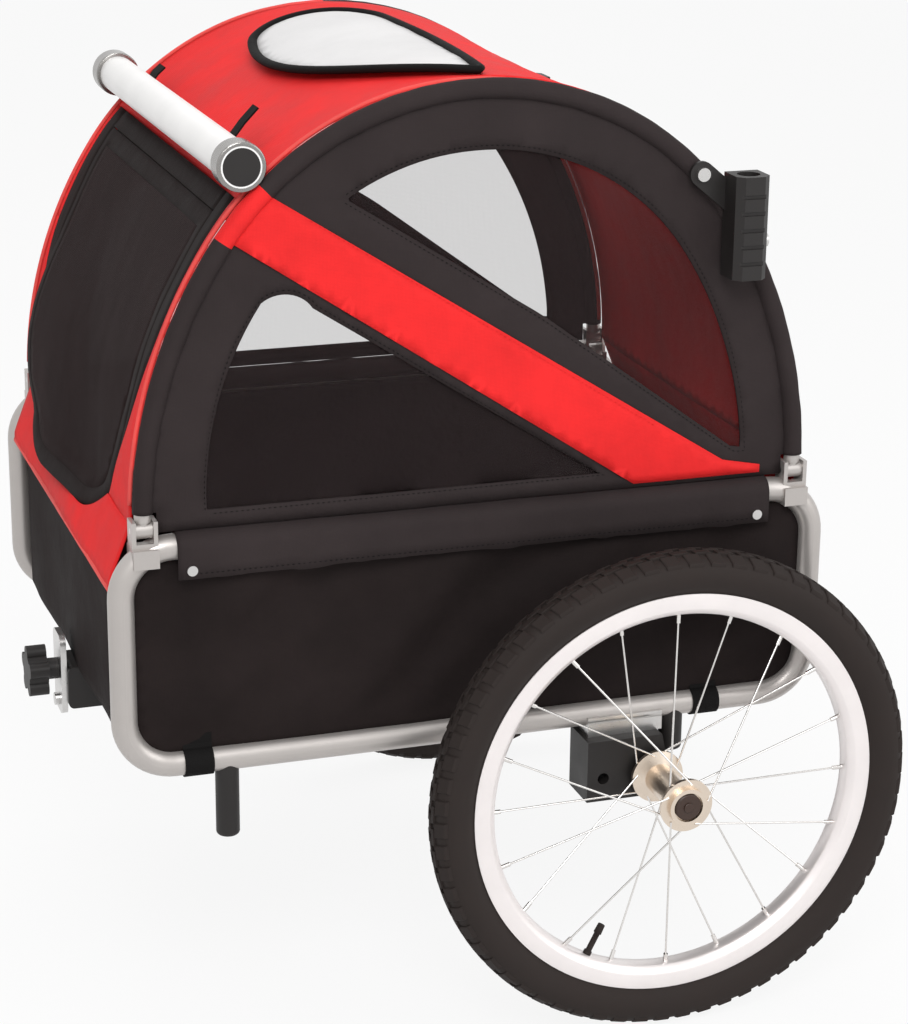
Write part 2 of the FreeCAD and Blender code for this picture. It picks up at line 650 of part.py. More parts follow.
def socket():
    """Clamp block on the hoop with an upright bore for a push bar."""
    back = LOOP_Y + HOOP_INSET + SEAT
    half = SOCKET_W / 2
    front = back + SOCKET_DEPTH
    block = box(SOCKET_X - half, SOCKET_X + half, back, front, SOCKET_LOW, SOCKET_HIGH)
    outer_edges = [edge for edge in block.Edges
                   if edge.BoundBox.ZLength > SOCKET_W * 2 and edge.BoundBox.YMin > front - OVERCUT]
    block = block.makeChamfer(SOCKET_CHAMFER, outer_edges)
    bolt = side(HOOP_BOLT_X, HOOP_BOLT_Z, back)
    lap = side(SOCKET_X, HOOP_BOLT_Z - SOCKET_FLANGE_DROP, back)
    flange = rod(SOCKET_FLANGE_R, bolt, bolt + ALONG_Y * SOCKET_FLANGE_T)
    across = (lap - bolt).normalize().cross(ALONG_Y) * SOCKET_FLANGE_R
    strip = Part.makePolygon([bolt + across, lap + across, lap - across, bolt - across, bolt + across])
    flange = flange.fuse(Part.Face(strip).extrude(ALONG_Y * SOCKET_FLANGE_T))
    block = block.fuse(flange).removeSplitter()
    axis_y = back + SOCKET_DEPTH / 2
    top = V(SOCKET_X, axis_y, SOCKET_HIGH)
    block = block.cut(rod(SOCKET_BORE_R, top - ALONG_Z * SOCKET_BORE_LENGTH, top + ALONG_Z))
    grooves = int((SOCKET_HIGH - SOCKET_LOW) / SOCKET_RIB_PITCH)
    for index in range(1, grooves):
        z = SOCKET_LOW + index * SOCKET_RIB_PITCH
        block = block.cut(box(SOCKET_X - half, SOCKET_X + half, front - SOCKET_RIB, front + OVERCUT,
                              z - SOCKET_RIB, z + SOCKET_RIB))
    clamp = side(SOCKET_X - half, CLAMP_BOLT_Z, axis_y)
    block = block.cut(rod(BOLT_R + RUNNING, clamp - ALONG_X, clamp + ALONG_X * half))
    return block.cut(hoop_bolt_space())


def socket_bolts():
    """Bolt through the hoop, and the clamp bolt in the block's rear face."""
    back = LOOP_Y + HOOP_INSET + SEAT
    seat_y = back + SOCKET_FLANGE_T
    through = side(HOOP_BOLT_X, HOOP_BOLT_Z, 0)
    shank = rod(BOLT_R, through + ALONG_Y * (LOOP_Y - HOOP_INSET - BOLT_HEAD_T), through + ALONG_Y * seat_y)
    head = rod(BOLT_HEAD_R, through + ALONG_Y * seat_y, through + ALONG_Y * (seat_y + BOLT_HEAD_T))
    nut = rod(BOLT_HEAD_R, through + ALONG_Y * (LOOP_Y - HOOP_INSET - BOLT_HEAD_T),
              through + ALONG_Y * (LOOP_Y - HOOP_INSET - RUNNING))
    half = SOCKET_W / 2
    clamp = side(SOCKET_X - half, CLAMP_BOLT_Z, back + SOCKET_DEPTH / 2)
    clamp_head = rod(BOLT_HEAD_R, clamp - ALONG_X * BOLT_HEAD_T, clamp)
    clamp_shank = rod(BOLT_R, clamp - ALONG_X, clamp + ALONG_X * (half - SOCKET_BORE_R - SEAT))
    return [shank.fuse(head).fuse(nut), clamp_head.fuse(clamp_shank)]


def bar_centre(y):
    """Centre line of the spreader bar, resting on the arches' sleeves."""
    reach = ARCH_TOP_R + COLLAR_R + SEAT
    turn = math.radians(BAR_ANGLE)
    return V(reach * math.cos(turn), y, ARCH_TOP_Z + reach * math.sin(turn))


def bar_end():
    return LOOP_Y + BAR_OVERHANG


def spreader_bar():
    ends = bar_centre(-bar_end()), bar_centre(bar_end())
    return rod(BAR_R, *ends).cut(rod(BAR_R - BAR_WALL, *ends))


def bar_collar():
    ends = bar_centre(bar_end() - COLLAR_W), bar_centre(bar_end())
    collar = rod(COLLAR_R, *ends)
    rims = [edge for edge in collar.Edges if edge.Length > COLLAR_R * 5]
    return collar.makeFillet(BAR_WALL, rims).cut(rod(BAR_R + RUNNING, *ends))


def bar_plug():
    radius = BAR_R - BAR_WALL - RUNNING
    return rod(radius, bar_centre(bar_end() - PLUG_CAP_T), bar_centre(bar_end()))


def sector(start_deg, end_deg):
    """Wedge on the middle of the roof's arc that cuts a cover from the sheet."""
    reach = 2 * ARCH_RISE
    steps = 4
    points = [side(0, ARCH_TOP_Z)]
    for index in range(steps + 1):
        turn = math.radians(start_deg + (end_deg - start_deg) * index / steps)
        points.append(side(reach * math.cos(turn), ARCH_TOP_Z + reach * math.sin(turn)))
    return solid_between(Part.makePolygon(points + points[:1]), -LOOP_Y, LOOP_Y)


def apron():
    """Lower part of the front cover, from the arch's foot to the hem rod."""
    hem_x = HEM_ROD_X + HEM_ROD_R + SEAT
    hem_z = HEM_ROD_Z - HEM_ROD_R
    top_z = HEM_ROD_Z + HEM_ROD_R
    outline = [side(ARCH_HALF, PANEL_FOOT), side(hem_x + CLOTH, top_z), side(hem_x + CLOTH, hem_z),
               side(hem_x, hem_z), side(hem_x, top_z), side(ARCH_HALF - CLOTH, PANEL_FOOT)]
    return solid_between(Part.makePolygon(outline + outline[:1]), -APRON_HALF_Y, APRON_HALF_Y)


def front_sheet():
    sheet = arch_band(0, CLOTH, COVER_HALF_Y).common(sector(-90, FRONT_SPLIT))
    front = max(sheet.Solids, key=lambda solid: solid.BoundBox.XMax)
    return front.fuse(apron()).removeSplitter()


def rear_cover():
    sheet = arch_band(0, CLOTH, COVER_HALF_Y).common(sector(REAR_SPLIT, 270))
    rear = min(sheet.Solids, key=lambda solid: solid.BoundBox.XMin)
    rear_apron = apron().mirror(V(0, 0, 0), ALONG_X)
    return rear.fuse(rear_apron).removeSplitter()


def door_prism(margin):
    """Tongue outline of the front door, seen from the front."""
    half = DOOR_HALF_Y - margin
    low = DOOR_LOW + margin
    round_r = DOOR_ROUND - margin
    high = DOOR_TOP - margin
    slope = round_r * math.cos(math.radians(45))
    left = V(0, half, low + round_r)
    left_mid = V(0, half - round_r + slope, low + round_r - slope)
    left_low = V(0, half - round_r, low)
    right, right_mid, right_low = [V(0, -point.y, point.z) for point in (left, left_mid, left_low)]
    wire = Part.Wire([
        Part.makeLine(V(0, half, high), left),
        Part.Arc(left, left_mid, left_low).toShape(),
        Part.makeLine(left_low, right_low),
        Part.Arc(right_low, right_mid, right).toShape(),
        Part.makeLine(right, V(0, -half, high)),
        Part.makeLine(V(0, -half, high), V(0, half, high)),
    ])
    return Part.Face(wire).extrude(V(2 * LOOP_X, 0, 0))


def leaf_flank(radius, toward):
    """Long side of the leaf: an arc from the tip that runs into the round end. Gives its two last points."""
    tip, end = V(*LEAF_TIP, 0), V(*LEAF_END, 0)
    span = (end - tip).Length
    along = (end - tip).normalize()
    across = along.cross(ALONG_Z) * toward
    step = (radius**2 - (radius - LEAF_END_R)**2 + span**2) / (2 * span)
    centre = tip + along * step + across * math.sqrt(radius**2 - step**2)
    touch = end + (end - centre).normalize() * LEAF_END_R
    middle = centre + ((tip + touch) / 2 - centre).normalize() * radius
    return middle, touch


def leaf_prism(grow):
    """Leaf outline of the roof flap as an upright prism."""
    tip, end = V(*LEAF_TIP, 0), V(*LEAF_END, 0)
    rear_middle, rear_touch = leaf_flank(LEAF_REAR_R, -1)
    front_middle, front_touch = leaf_flank(LEAF_FRONT_R, 1)
    far = end + (end - tip).normalize() * LEAF_END_R
    wire = Part.Wire([
        Part.Arc(tip, rear_middle, rear_touch).toShape(),
        Part.Arc(rear_touch, far, front_touch).toShape(),
        Part.Arc(front_touch, front_middle, tip).toShape(),
    ])
    if grow:
        wire = wire.makeOffset2D(grow)
    prism = Part.Face(wire).extrude(ALONG_Z * ARCH_RISE)
    prism.translate(ALONG_Z * (ARCH_FOOT + ARCH_RISE / 2))
    return prism


def roof_flap():
    sheet = arch_band(-SEAT - LEAF_T, -SEAT, COVER_HALF_Y)
    return sheet.common(leaf_prism(0))


def roof_flap_binding():
    sheet = arch_band(-SEAT - BINDING_T, -SEAT, COVER_HALF_Y)
    return sheet.common(leaf_prism(BINDING_W)).cut(leaf_prism(SEAT))


def turned(points):
    """Profile of (radius, y) points spun round the wheel's axle."""
    wire = Part.makePolygon([V(radius, y, 0) for radius, y in points + points[:1]])
    ring = Part.Face(wire).revolve(V(0, 0, 0), ALONG_Y, 360)
    ring.translate(V(AXLE_X, 0, AXLE_Z))
    return ring


def tyre():
    """Open tyre section: beads in the rim, round side walls, a thicker tread with two grooves."""
    bead_y = RIM_HALF_W - RIM_WALL - SEAT
    bead_r = RIM_R - BEAD_DEPTH
    belly_r = (RIM_R + TYRE_R) / 2
    shoulder_y = TYRE_HALF_W / 2

    def half_outline(sign, skin):
        """Points of one half of the section, drawn in by the thickness of the rubber."""
        wall = TYRE_T if skin else 0.0
        tread = TREAD_T if skin else 0.0
        bead = V(bead_r, sign * (bead_y - wall), 0)
        lip = V(RIM_R + SEAT, sign * (bead_y - wall), 0)
        cheek = V((lip.x + belly_r) / 2 - wall, sign * (TYRE_HALF_W - CHEEK_IN - wall), 0)
        belly = V(belly_r, sign * (TYRE_HALF_W - wall), 0)
        flank = V((belly_r + TYRE_R) / 2 + FLANK_OUT - tread / 2, sign * (TYRE_HALF_W - CHEEK_IN - wall), 0)
        shoulder = V(TYRE_R - SHOULDER_DROP - tread, sign * (shoulder_y - wall / 2), 0)
        return bead, lip, cheek, belly, flank, shoulder

    def edges(sign, skin):
        bead, lip, cheek, belly, flank, shoulder = half_outline(sign, skin)
        return [Part.makeLine(bead, lip), Part.Arc(lip, cheek, belly).toShape(),
                Part.Arc(belly, flank, shoulder).toShape()]

    def crown(skin):
        shoulder = half_outline(1, skin)[-1]
        middle = V(TYRE_R - (TREAD_T if skin else 0.0), 0, 0)
        return Part.Arc(shoulder, middle, V(shoulder.x, -shoulder.y, 0)).toShape()

    beads = [Part.makeLine(half_outline(sign, False)[0], half_outline(sign, True)[0]) for sign in (1, -1)]
    outline = edges(1, False) + edges(-1, False) + edges(1, True) + edges(-1, True)
    outline += [crown(False), crown(True)] + beads
    wire = Part.Wire(Part.__sortEdges__(outline))
    ring = Part.Face(wire).revolve(V(0, 0, 0), ALONG_Y, 360)
    ring.translate(V(AXLE_X, WHEEL_Y, AXLE_Z))
    for y in GROOVE_YS:
        start, end = WHEEL_Y + y - GROOVE_W / 2, WHEEL_Y + y + GROOVE_W / 2
        floor_r, past_r = TYRE_R - GROOVE_DEPTH, TYRE_R + OVERCUT
        ring = ring.cut(turned([(floor_r, start), (past_r, start), (past_r, end), (floor_r, end)]))
    return ring


def rim():
    """Deep channel with a tapering well."""
    bed_r = RIM_R - RIM_DEPTH
    half = RIM_HALF_W
    nose = RIM_NOSE_HALF_W
    outer = [(RIM_R, half), (bed_r + RIM_DEPTH / 3, half), (bed_r, nose)]
    inner = [(bed_r + RIM_WALL, nose - RIM_WALL / 2), (bed_r + RIM_DEPTH / 3 + RIM_WALL / 2, half - RIM_WALL),
             (RIM_R, half - RIM_WALL)]
    points = outer + [(r, -y) for r, y in reversed(outer)] + [(r, -y) for r, y in reversed(inner)] + inner
    return turned([(r, WHEEL_Y + y) for r, y in points])


def spokes():
    """Crossed spokes: alternate rim holes lead to the two flanges, and pull both ways round the hub."""
    flanges = (HUB_IN + FLANGE_T / 2, HUB_OUT - HUB_RECESS - FLANGE_T / 2)
    rim_r = RIM_R - RIM_DEPTH + RIM_WALL / 2
    shapes = []
    for index in range(SPOKES):
        flange_y = flanges[index % 2]
        pull = 1 if (index // 2) % 2 else -1
        rim_turn = math.radians(360 / SPOKES * index)
        hub_turn = rim_turn + pull * math.radians(LACE_ANGLE)
        offset = NIPPLE_STEP if flange_y > WHEEL_Y else -NIPPLE_STEP
        hub_end = V(AXLE_X + SPOKE_CIRCLE_R * math.cos(hub_turn), flange_y + pull * SPOKE_STEP,
                    AXLE_Z + SPOKE_CIRCLE_R * math.sin(hub_turn))
        rim_end = V(AXLE_X + rim_r * math.cos(rim_turn), WHEEL_Y + offset,
                    AXLE_Z + rim_r * math.sin(rim_turn))
        along = (hub_end - rim_end).normalize()
        wire = rod(SPOKE_R, hub_end, rim_end)
        nipple = rod(NIPPLE_R, rim_end, rim_end + along * NIPPLE_LENGTH)
        shapes.append(wire.fuse(nipple))
    return shapes


def hub():
    """Barrel with two flanges, bored for the axle, with a recess for the axle's head."""
    outer_flange = HUB_OUT - HUB_RECESS
    bore_r = AXLE_R + RUNNING
    points = [(bore_r, HUB_IN), (FLANGE_R, HUB_IN), (FLANGE_R, HUB_IN + FLANGE_T),
              (HUB_BARREL_R, HUB_IN + 2 * FLANGE_T), (HUB_BARREL_R, outer_flange - 2 * FLANGE_T),
              (FLANGE_R, outer_flange - FLANGE_T), (FLANGE_R, outer_flange), (HUB_BOSS_R, outer_flange),
              (HUB_BOSS_R, HUB_OUT), (HUB_RECESS_R, HUB_OUT), (HUB_RECESS_R, outer_flange),
              (bore_r, outer_flange)]
    return turned(points)


def axle():
    """Quick-release pin with a broad head and a stepped bore for its button."""
    head_in = HUB_OUT - HUB_RECESS + SEAT
    head_out = head_in + AXLE_HEAD_T
    cavity_floor = head_out + BUTTON_PROUD - BUTTON_T - BUTTON_TRAVEL - SEAT
    stem_floor = head_out + BUTTON_PROUD - BUTTON_T - STEM_LENGTH - BUTTON_TRAVEL - SEAT
    cavity_r = BUTTON_R + BUTTON_PLAY
    stem_bore_r = STEM_R + BUTTON_PLAY
    points = [(0, AXLE_IN), (AXLE_R - AXLE_CHAMFER, AXLE_IN), (AXLE_R, AXLE_IN + AXLE_LEAD),
              (AXLE_R, head_in), (AXLE_HEAD_R, head_in), (AXLE_HEAD_R, head_out - AXLE_CHAMFER),
              (AXLE_HEAD_R - AXLE_CHAMFER, head_out), (cavity_r, head_out), (cavity_r, cavity_floor),
              (stem_bore_r, cavity_floor), (stem_bore_r, stem_floor), (0, stem_floor)]
    return turned(points)


def axle_button():
    face = HUB_OUT - HUB_RECESS + SEAT + AXLE_HEAD_T + BUTTON_PROUD
    back = face - BUTTON_T
    points = [(0, back - STEM_LENGTH), (STEM_R, back - STEM_LENGTH), (STEM_R, back), (BUTTON_R, back),
              (BUTTON_R, face - BUTTON_CHAMFER), (BUTTON_R - BUTTON_CHAMFER, face), (0, face)]
    return turned(points)


def housing_ends(x):
    """Ends of a hole through the housing."""
    return side(x, AXLE_Z, HOUSING_IN - OVERCUT), side(x, AXLE_Z, HOUSING_OUT + OVERCUT)


def axle_housing():
    """Moulded block under the bottom rail that holds the axle's bushing and its latch."""
    top = LOOP_BOTTOM - TUBE_R - SEAT - SADDLE_T - SADDLE_PAD_T
    front = AXLE_X + HOUSING_FRONT
    low = AXLE_Z - HOUSING_LOW
    wire = Part.Wire([
        Part.makeLine(side(front, low), side(front, top)),
        Part.makeLine(side(front, top), side(AXLE_X - HOUSING_TOP_REAR, top)),
        Part.makeLine(side(AXLE_X - HOUSING_TOP_REAR, top), side(AXLE_X - HOUSING_ROUND, AXLE_Z)),
        arc((AXLE_X, AXLE_Z), HOUSING_ROUND, 180, 270),
        Part.makeLine(side(AXLE_X, AXLE_Z - HOUSING_ROUND), side(AXLE_X, low)),
        Part.makeLine(side(AXLE_X, low), side(front, low)),
    ])
    block = solid_between(wire, HOUSING_IN, HOUSING_OUT)
    block = block.cut(rod(BUSH_R + RUNNING, *housing_ends(AXLE_X)))
    return block.cut(rod(LATCH_HOLE_R, *housing_ends(AXLE_X + LATCH_HOLE_X)))


def axle_bushing():
    ends = side(AXLE_X, AXLE_Z, HOUSING_IN), side(AXLE_X, AXLE_Z, HOUSING_OUT)
    return rod(BUSH_R, *ends).cut(rod(AXLE_R + RUNNING, *ends))


def axle_saddle():
    """Half shell under the bottom rail with a flat pad for the housing."""
    x0, x1 = AXLE_SADDLE_XS
    inner_r = TUBE_R + SEAT
    ends = side(x0, LOOP_BOTTOM, LOOP_Y), side(x1, LOOP_BOTTOM, LOOP_Y)
    shell = rod(inner_r + SADDLE_T, *ends)
    pad_low = LOOP_BOTTOM - inner_r - SADDLE_T - SADDLE_PAD_T
    half = inner_r + SADDLE_T
    pad = box(x0, x1, LOOP_Y - half, LOOP_Y + half, pad_low, LOOP_BOTTOM - TUBE_R / 2)
    reach = 2 * inner_r
    lower_half = box(x0, x1, LOOP_Y - reach, LOOP_Y + reach, pad_low, LOOP_BOTTOM)
    return shell.fuse(pad).common(lower_half).cut(rod(inner_r, *ends)).removeSplitter()


def stud_hole():
    start = V(HITCH_FRONT - STUD_LENGTH, 0, KNOB_Z)
    return rod(STUD_R + RUNNING, start, start + ALONG_X * (STUD_LENGTH + 2 * PLATE_T))


def plate_bolt_place():
    return V(HITCH_FRONT, 0, PLATE_BOLT_Z)


def hitch_block():
    """Moulded clamp round the front cross tube."""
    block = box(HITCH_REAR, HITCH_FRONT, -HITCH_HALF_Y, HITCH_HALF_Y, HITCH_LOW, HITCH_HIGH)
    long_edges = [edge for edge in block.Edges if edge.BoundBox.YLength > HITCH_HALF_Y]
    block = block.makeFillet(HITCH_ROUND, long_edges)
    reach = 2 * HITCH_HALF_Y
    block = block.cut(rod(CROSS_R + RUNNING, V(CROSS_X, -reach, LOOP_BOTTOM), V(CROSS_X, reach, LOOP_BOTTOM)))
    bolt = plate_bolt_place()
    block = block.cut(rod(BOLT_R + RUNNING, bolt - ALONG_X * (PLATE_BOLT_LENGTH + OVERCUT), bolt + ALONG_X))
    return block.cut(stud_hole())


def hitch_plate():
    plate = box(HITCH_FRONT, HITCH_FRONT + PLATE_T, -PLATE_HALF_Y, PLATE_HALF_Y, PLATE_LOW, PLATE_HIGH)
    corners = [edge for edge in plate.Edges if edge.BoundBox.XLength > PLATE_T / 2]
    plate = plate.makeFillet(PLATE_HALF_Y / 2, corners)
    bolt = plate_bolt_place()
    plate = plate.cut(rod(BOLT_R + RUNNING, bolt - ALONG_X, bolt + ALONG_X * 2 * PLATE_T))
    return plate.cut(stud_hole())


def hitch_bolt():
    bolt = plate_bolt_place()
    head_start = bolt + ALONG_X * PLATE_T
    head = rod(BOLT_HEAD_R, head_start, head_start + ALONG_X * BOLT_HEAD_T)
    return head.fuse(rod(BOLT_R, bolt - ALONG_X * PLATE_BOLT_LENGTH, head_start))


def star_knob():
    """Five-lobed clamp knob on its stud."""
    base = V(HITCH_FRONT + PLATE_T + SEAT, 0, KNOB_Z)
    start = base + ALONG_X * KNOB_COLLAR_T
    end = start + ALONG_X * KNOB_T
    body = rod(KNOB_R - KNOB_LOBE_R, start, end)
    for index in range(KNOB_LOBES):
        turn = math.radians(90 + 360 / KNOB_LOBES * index)
        out = V(0, math.cos(turn), math.sin(turn)) * (KNOB_R - KNOB_LOBE_R)
        body = body.fuse(rod(KNOB_LOBE_R, start + out, end + out))
    collar = rod(KNOB_COLLAR_R, base, start)
    stud = rod(STUD_R, base - ALONG_X * STUD_LENGTH, start)
    return body.fuse(collar).fuse(stud).removeSplitter()


def build_frame():
    for name, shape in zip(("left_loop", "right_loop"), both_sides(loop())):
        save(name, shape)
    save("rail_joiners", group(both_sides(rail_joiner())))
    save("cross_tubes", group([cross_tube(CROSS_X), cross_tube(-CROSS_X)]))
    save("hem_rods", group([hem_rod(HEM_ROD_X), hem_rod(-HEM_ROD_X)]))
    save("floor_board", floor_board())
    for name, shape in zip(("left_wall", "right_wall"), both_sides(side_wall())):
        save(name, shape)
    save("front_wall", end_wall())
    save("rear_wall", end_wall().mirror(V(0, 0, 0), ALONG_X))
    save("top_sleeves", group(both_sides(top_sleeve())))
    save("wall_rivets", group([shape for rivet in rivets() for shape in both_sides(rivet)]))
    save("rail_straps", group([shape for x in STRAP_XS for shape in both_sides(rail_strap(x))]))
    save("front_feet", group(both_sides(foot(FRONT_FOOT_X, FRONT_FOOT_R, FRONT_FOOT_END))))
    save("rear_feet", group(both_sides(foot(REAR_FOOT_X, REAR_FOOT_R, REAR_FOOT_END))))
    save("hinge_yokes", group([shape for x in (-HOOP_X, HOOP_X) for shape in both_sides(hinge_yoke(x))]))
    save("hinge_pins", group([shape for x in (-HOOP_X, HOOP_X) for shape in both_sides(hinge_pin(x))]))


def build_running_gear():
    save("axle_housings", group(both_sides(axle_housing())))
    save("axle_bushings", group(both_sides(axle_bushing())))
    save("axle_saddles", group(both_sides(axle_saddle())))
    pieces = {"tyre": tyre(), "rim": rim(), "spokes": group(spokes()), "hub": hub(),
              "axle": axle(), "axle_button": axle_button()}
    for name, shape in pieces.items():
        save("left_" + name, shape)
        save("right_" + name, mirrored(shape))


def build_hitch():
    save("hitch_block", hitch_block())
    save("hitch_plate", hitch_plate())
    save("hitch_bolt", hitch_bolt())
    save("star_knob", star_knob())


def build_arches():
    pieces = {"hoop": hoop(), "knuckles": group([knuckle(-HOOP_X), knuckle(HOOP_X)]),
              "side_panel": side_panel(), "mesh": group(meshes()), "stripe": stripe(),
              "socket": socket(), "socket_bolts": group(socket_bolts())}
    for name, shape in pieces.items():
        save("left_" + name, shape)
        save("right_" + name, mirrored(shape))
    save("spreader_bar", spreader_bar())
    save("bar_collars", group(both_sides(bar_collar())))
    save("bar_plugs", group(both_sides(bar_plug())))


def build_covers():
    sheet = front_sheet()
    save("front_cover", sheet.cut(door_prism(0)))
    save("front_door", sheet.common(door_prism(CLOTH_GAP)))
    save("rear_cover", rear_cover())
    save("roof_cover", arch_band(0, CLOTH, COVER_HALF_Y).common(sector(FRONT_SPLIT, REAR_SPLIT)))
    save("roof_flap", roof_flap())
    save("roof_flap_binding", roof_flap_binding())


os.makedirs("parts", exist_ok=True)
build_frame()
build_running_gear()
build_hitch()
build_arches()
build_covers()
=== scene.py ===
import json
import math

import bpy
import numpy as np
from mathutils import Matrix, Vector, noise
from mathutils.geometry import delaunay_2d_cdt


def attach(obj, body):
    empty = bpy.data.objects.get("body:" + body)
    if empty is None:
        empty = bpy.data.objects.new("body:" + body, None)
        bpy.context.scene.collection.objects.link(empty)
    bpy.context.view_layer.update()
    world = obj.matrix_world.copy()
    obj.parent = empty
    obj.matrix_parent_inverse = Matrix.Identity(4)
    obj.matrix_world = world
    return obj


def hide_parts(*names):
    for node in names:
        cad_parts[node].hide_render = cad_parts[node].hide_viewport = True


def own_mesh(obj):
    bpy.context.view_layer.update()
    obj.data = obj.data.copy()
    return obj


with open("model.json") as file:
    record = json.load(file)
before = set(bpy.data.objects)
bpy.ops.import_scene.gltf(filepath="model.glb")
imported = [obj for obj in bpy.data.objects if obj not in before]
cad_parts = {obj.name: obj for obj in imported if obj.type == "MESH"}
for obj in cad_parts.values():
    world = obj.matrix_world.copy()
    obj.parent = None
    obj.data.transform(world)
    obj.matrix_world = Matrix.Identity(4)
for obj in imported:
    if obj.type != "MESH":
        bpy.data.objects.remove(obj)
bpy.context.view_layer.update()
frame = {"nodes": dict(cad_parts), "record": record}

NODES = frame["nodes"]
SHIFT = 0.01585  # the frame's middle lies this far ahead of the outline's middle

# Sizes of the frame, in metres
LOOP_X, LOOP_Y = 0.350, 0.270
LOOP_LOW, LOOP_HIGH = 0.310, 0.527
TUBE_R = 0.0125
ARCH_HALF, ARCH_RISE, ARCH_FOOT, ARCH_SIDE_R = 0.337, 0.397, 0.551, 0.467
ARCH_TOP_R = (2 * ARCH_SIDE_R * ARCH_HALF - ARCH_HALF**2 - ARCH_RISE**2) / (2 * (ARCH_SIDE_R - ARCH_RISE))
ARCH_TOP_Z = ARCH_FOOT + ARCH_RISE - ARCH_TOP_R
LEAN = ARCH_SIDE_R - ARCH_HALF
MEET = math.atan2(ARCH_TOP_Z - ARCH_FOOT, LEAN)
HOOP_INSET, SLEEVE_R, SLEEVE_FOOT = 0.0096, 0.0096, 0.5622
PANEL_FOOT, PANEL_SKIRT = 0.5465, 0.5427
COVER_HALF_Y, APRON_HALF_Y, HEM_X, HEM_Z = 0.2598, 0.254, 0.3568, 0.483
DOOR_HALF_Y, DOOR_TOP, DOOR_LOW, DOOR_ROUND = 0.220, 0.829, 0.512, 0.165
AXLE_X, AXLE_Z, WHEEL_Y = -0.178, 0.250, 0.345
FRONT_SPLIT, REAR_SPLIT = math.radians(42), math.radians(140)  # where the roof cover starts and ends
COVER_T, PANEL_T, STRIPE_T, SLEEVE_T, DOOR_T = 0.0022, 0.0024, 0.0012, 0.0018, 0.0016  # cloth thickness
CLOTH_STEP, FINE_STEP, NET_STEP = 0.012, 0.010, 0.020  # sides of the cloth's triangles


# ---- materials
def nodes_of(name):
    """New material with its node tree and shader."""
    mat = bpy.data.materials.new(name)
    mat.use_nodes = True
    tree = mat.node_tree
    return mat, tree, tree.nodes["Principled BSDF"]


def link(tree, source, target):
    tree.links.new(source, target)


def tex(tree, kind, coords, **values):
    """Texture node with its sockets set."""
    node = tree.nodes.new(kind)
    link(tree, coords, node.inputs["Vector"])
    for key, value in values.items():
        node.inputs[key].default_value = value
    return node


def speckle(tree, coords, **values):
    """Factor of a noise texture."""
    return tex(tree, "ShaderNodeTexNoise", coords, **values).outputs["Fac"]


def ramp(tree, source, low, high, start, end):
    """Values between two places of a factor, as a map range."""
    node = tree.nodes.new("ShaderNodeMapRange")
    link(tree, source, node.inputs["Value"])
    node.inputs["From Min"].default_value = low
    node.inputs["From Max"].default_value = high
    node.inputs["To Min"].default_value = start
    node.inputs["To Max"].default_value = end
    return node.outputs["Result"]


def math_node(tree, kind, a, b):
    """One operation on two values, each a number or a socket."""
    node = tree.nodes.new("ShaderNodeMath")
    node.operation = kind
    for index, value in enumerate((a, b)):
        if isinstance(value, (int, float)):
            node.inputs[index].default_value = value
        else:
            link(tree, value, node.inputs[index])
    return node.outputs["Value"]


def uneven(tree, bsdf, factor, colour, darkest, lightest):
    """Base colour that varies by a factor between two shares of a colour."""
    node = tree.nodes.new("ShaderNodeMix")
    node.data_type = "RGBA"
    link(tree, factor, node.inputs["Factor"])
    node.inputs["A"].default_value = (*[c * darkest for c in colour], 1)
    node.inputs["B"].default_value = (*[min(1, c * lightest) for c in colour], 1)
    link(tree, node.outputs["Result"], bsdf.inputs["Base Color"])


def bump(tree, bsdf, height, strength, distance, base=None):
    """Bump on the shader's normal, over another bump where base is given."""
    node = tree.nodes.new("ShaderNodeBump")
    node.inputs["Strength"].default_value = strength
    node.inputs["Distance"].default_value = distance
    link(tree, height, node.inputs["Height"])
    if base is not None:
        link(tree, base, node.inputs["Normal"])
    link(tree, node.outputs["Normal"], bsdf.inputs["Normal"])
    return node.outputs["Normal"]


def weave_height(tree, coords, pitch, axes):
    """Over-and-under of two crossing threads."""
    waves = []
    for axis in axes:
        wave = tex(tree, "ShaderNodeTexWave", coords, Scale=math.pi / 10 / pitch, Distortion=0.6, Detail=1.0)
        wave.bands_direction = axis
        waves.append(wave.outputs["Fac"])
    return math_node(tree, "MULTIPLY", waves[0], waves[1])


def cloth(name, colour, axes=("X", "Z"), pitch=0.0013, rough=0.70, spread=0.20, gloss=0.06):
    """Woven cloth: thread bump, soft creases, uneven dye, and painted shade that darkens the gaps between the
    threads.
    """
    mat, tree, bsdf = nodes_of(name)
    coords = tree.nodes.new("ShaderNodeTexCoord").outputs["Object"]
    weave = weave_height(tree, coords, pitch, axes)
    cloud = speckle(tree, coords, Scale=9.0, Detail=6.0, Roughness=0.6)
    # Tone varies at random over broad patches (dye), and is lighter on the raised threads and darker between
    # them (painted shade of the weave).
    dye_and_thread_shade = math_node(tree, "ADD", ramp(tree, cloud, 0.3, 0.7, 0.0, 0.7), ramp(tree, weave, 0, 1, 0.0, 0.3))
    uneven(tree, bsdf, dye_and_thread_shade, colour, 1 - spread, 1 + spread)
    link(tree, ramp(tree, cloud, 0.3, 0.7, rough - 0.07, rough + 0.09), bsdf.inputs["Roughness"])
    crease = speckle(tree, coords, Scale=38.0, Detail=4.0, Roughness=0.55)
    first = bump(tree, bsdf, crease, 0.35, 0.004)
    bump(tree, bsdf, weave, 0.35, 0.0004, first)
    bsdf.inputs["Specular IOR Level"].default_value = gloss
    return mat


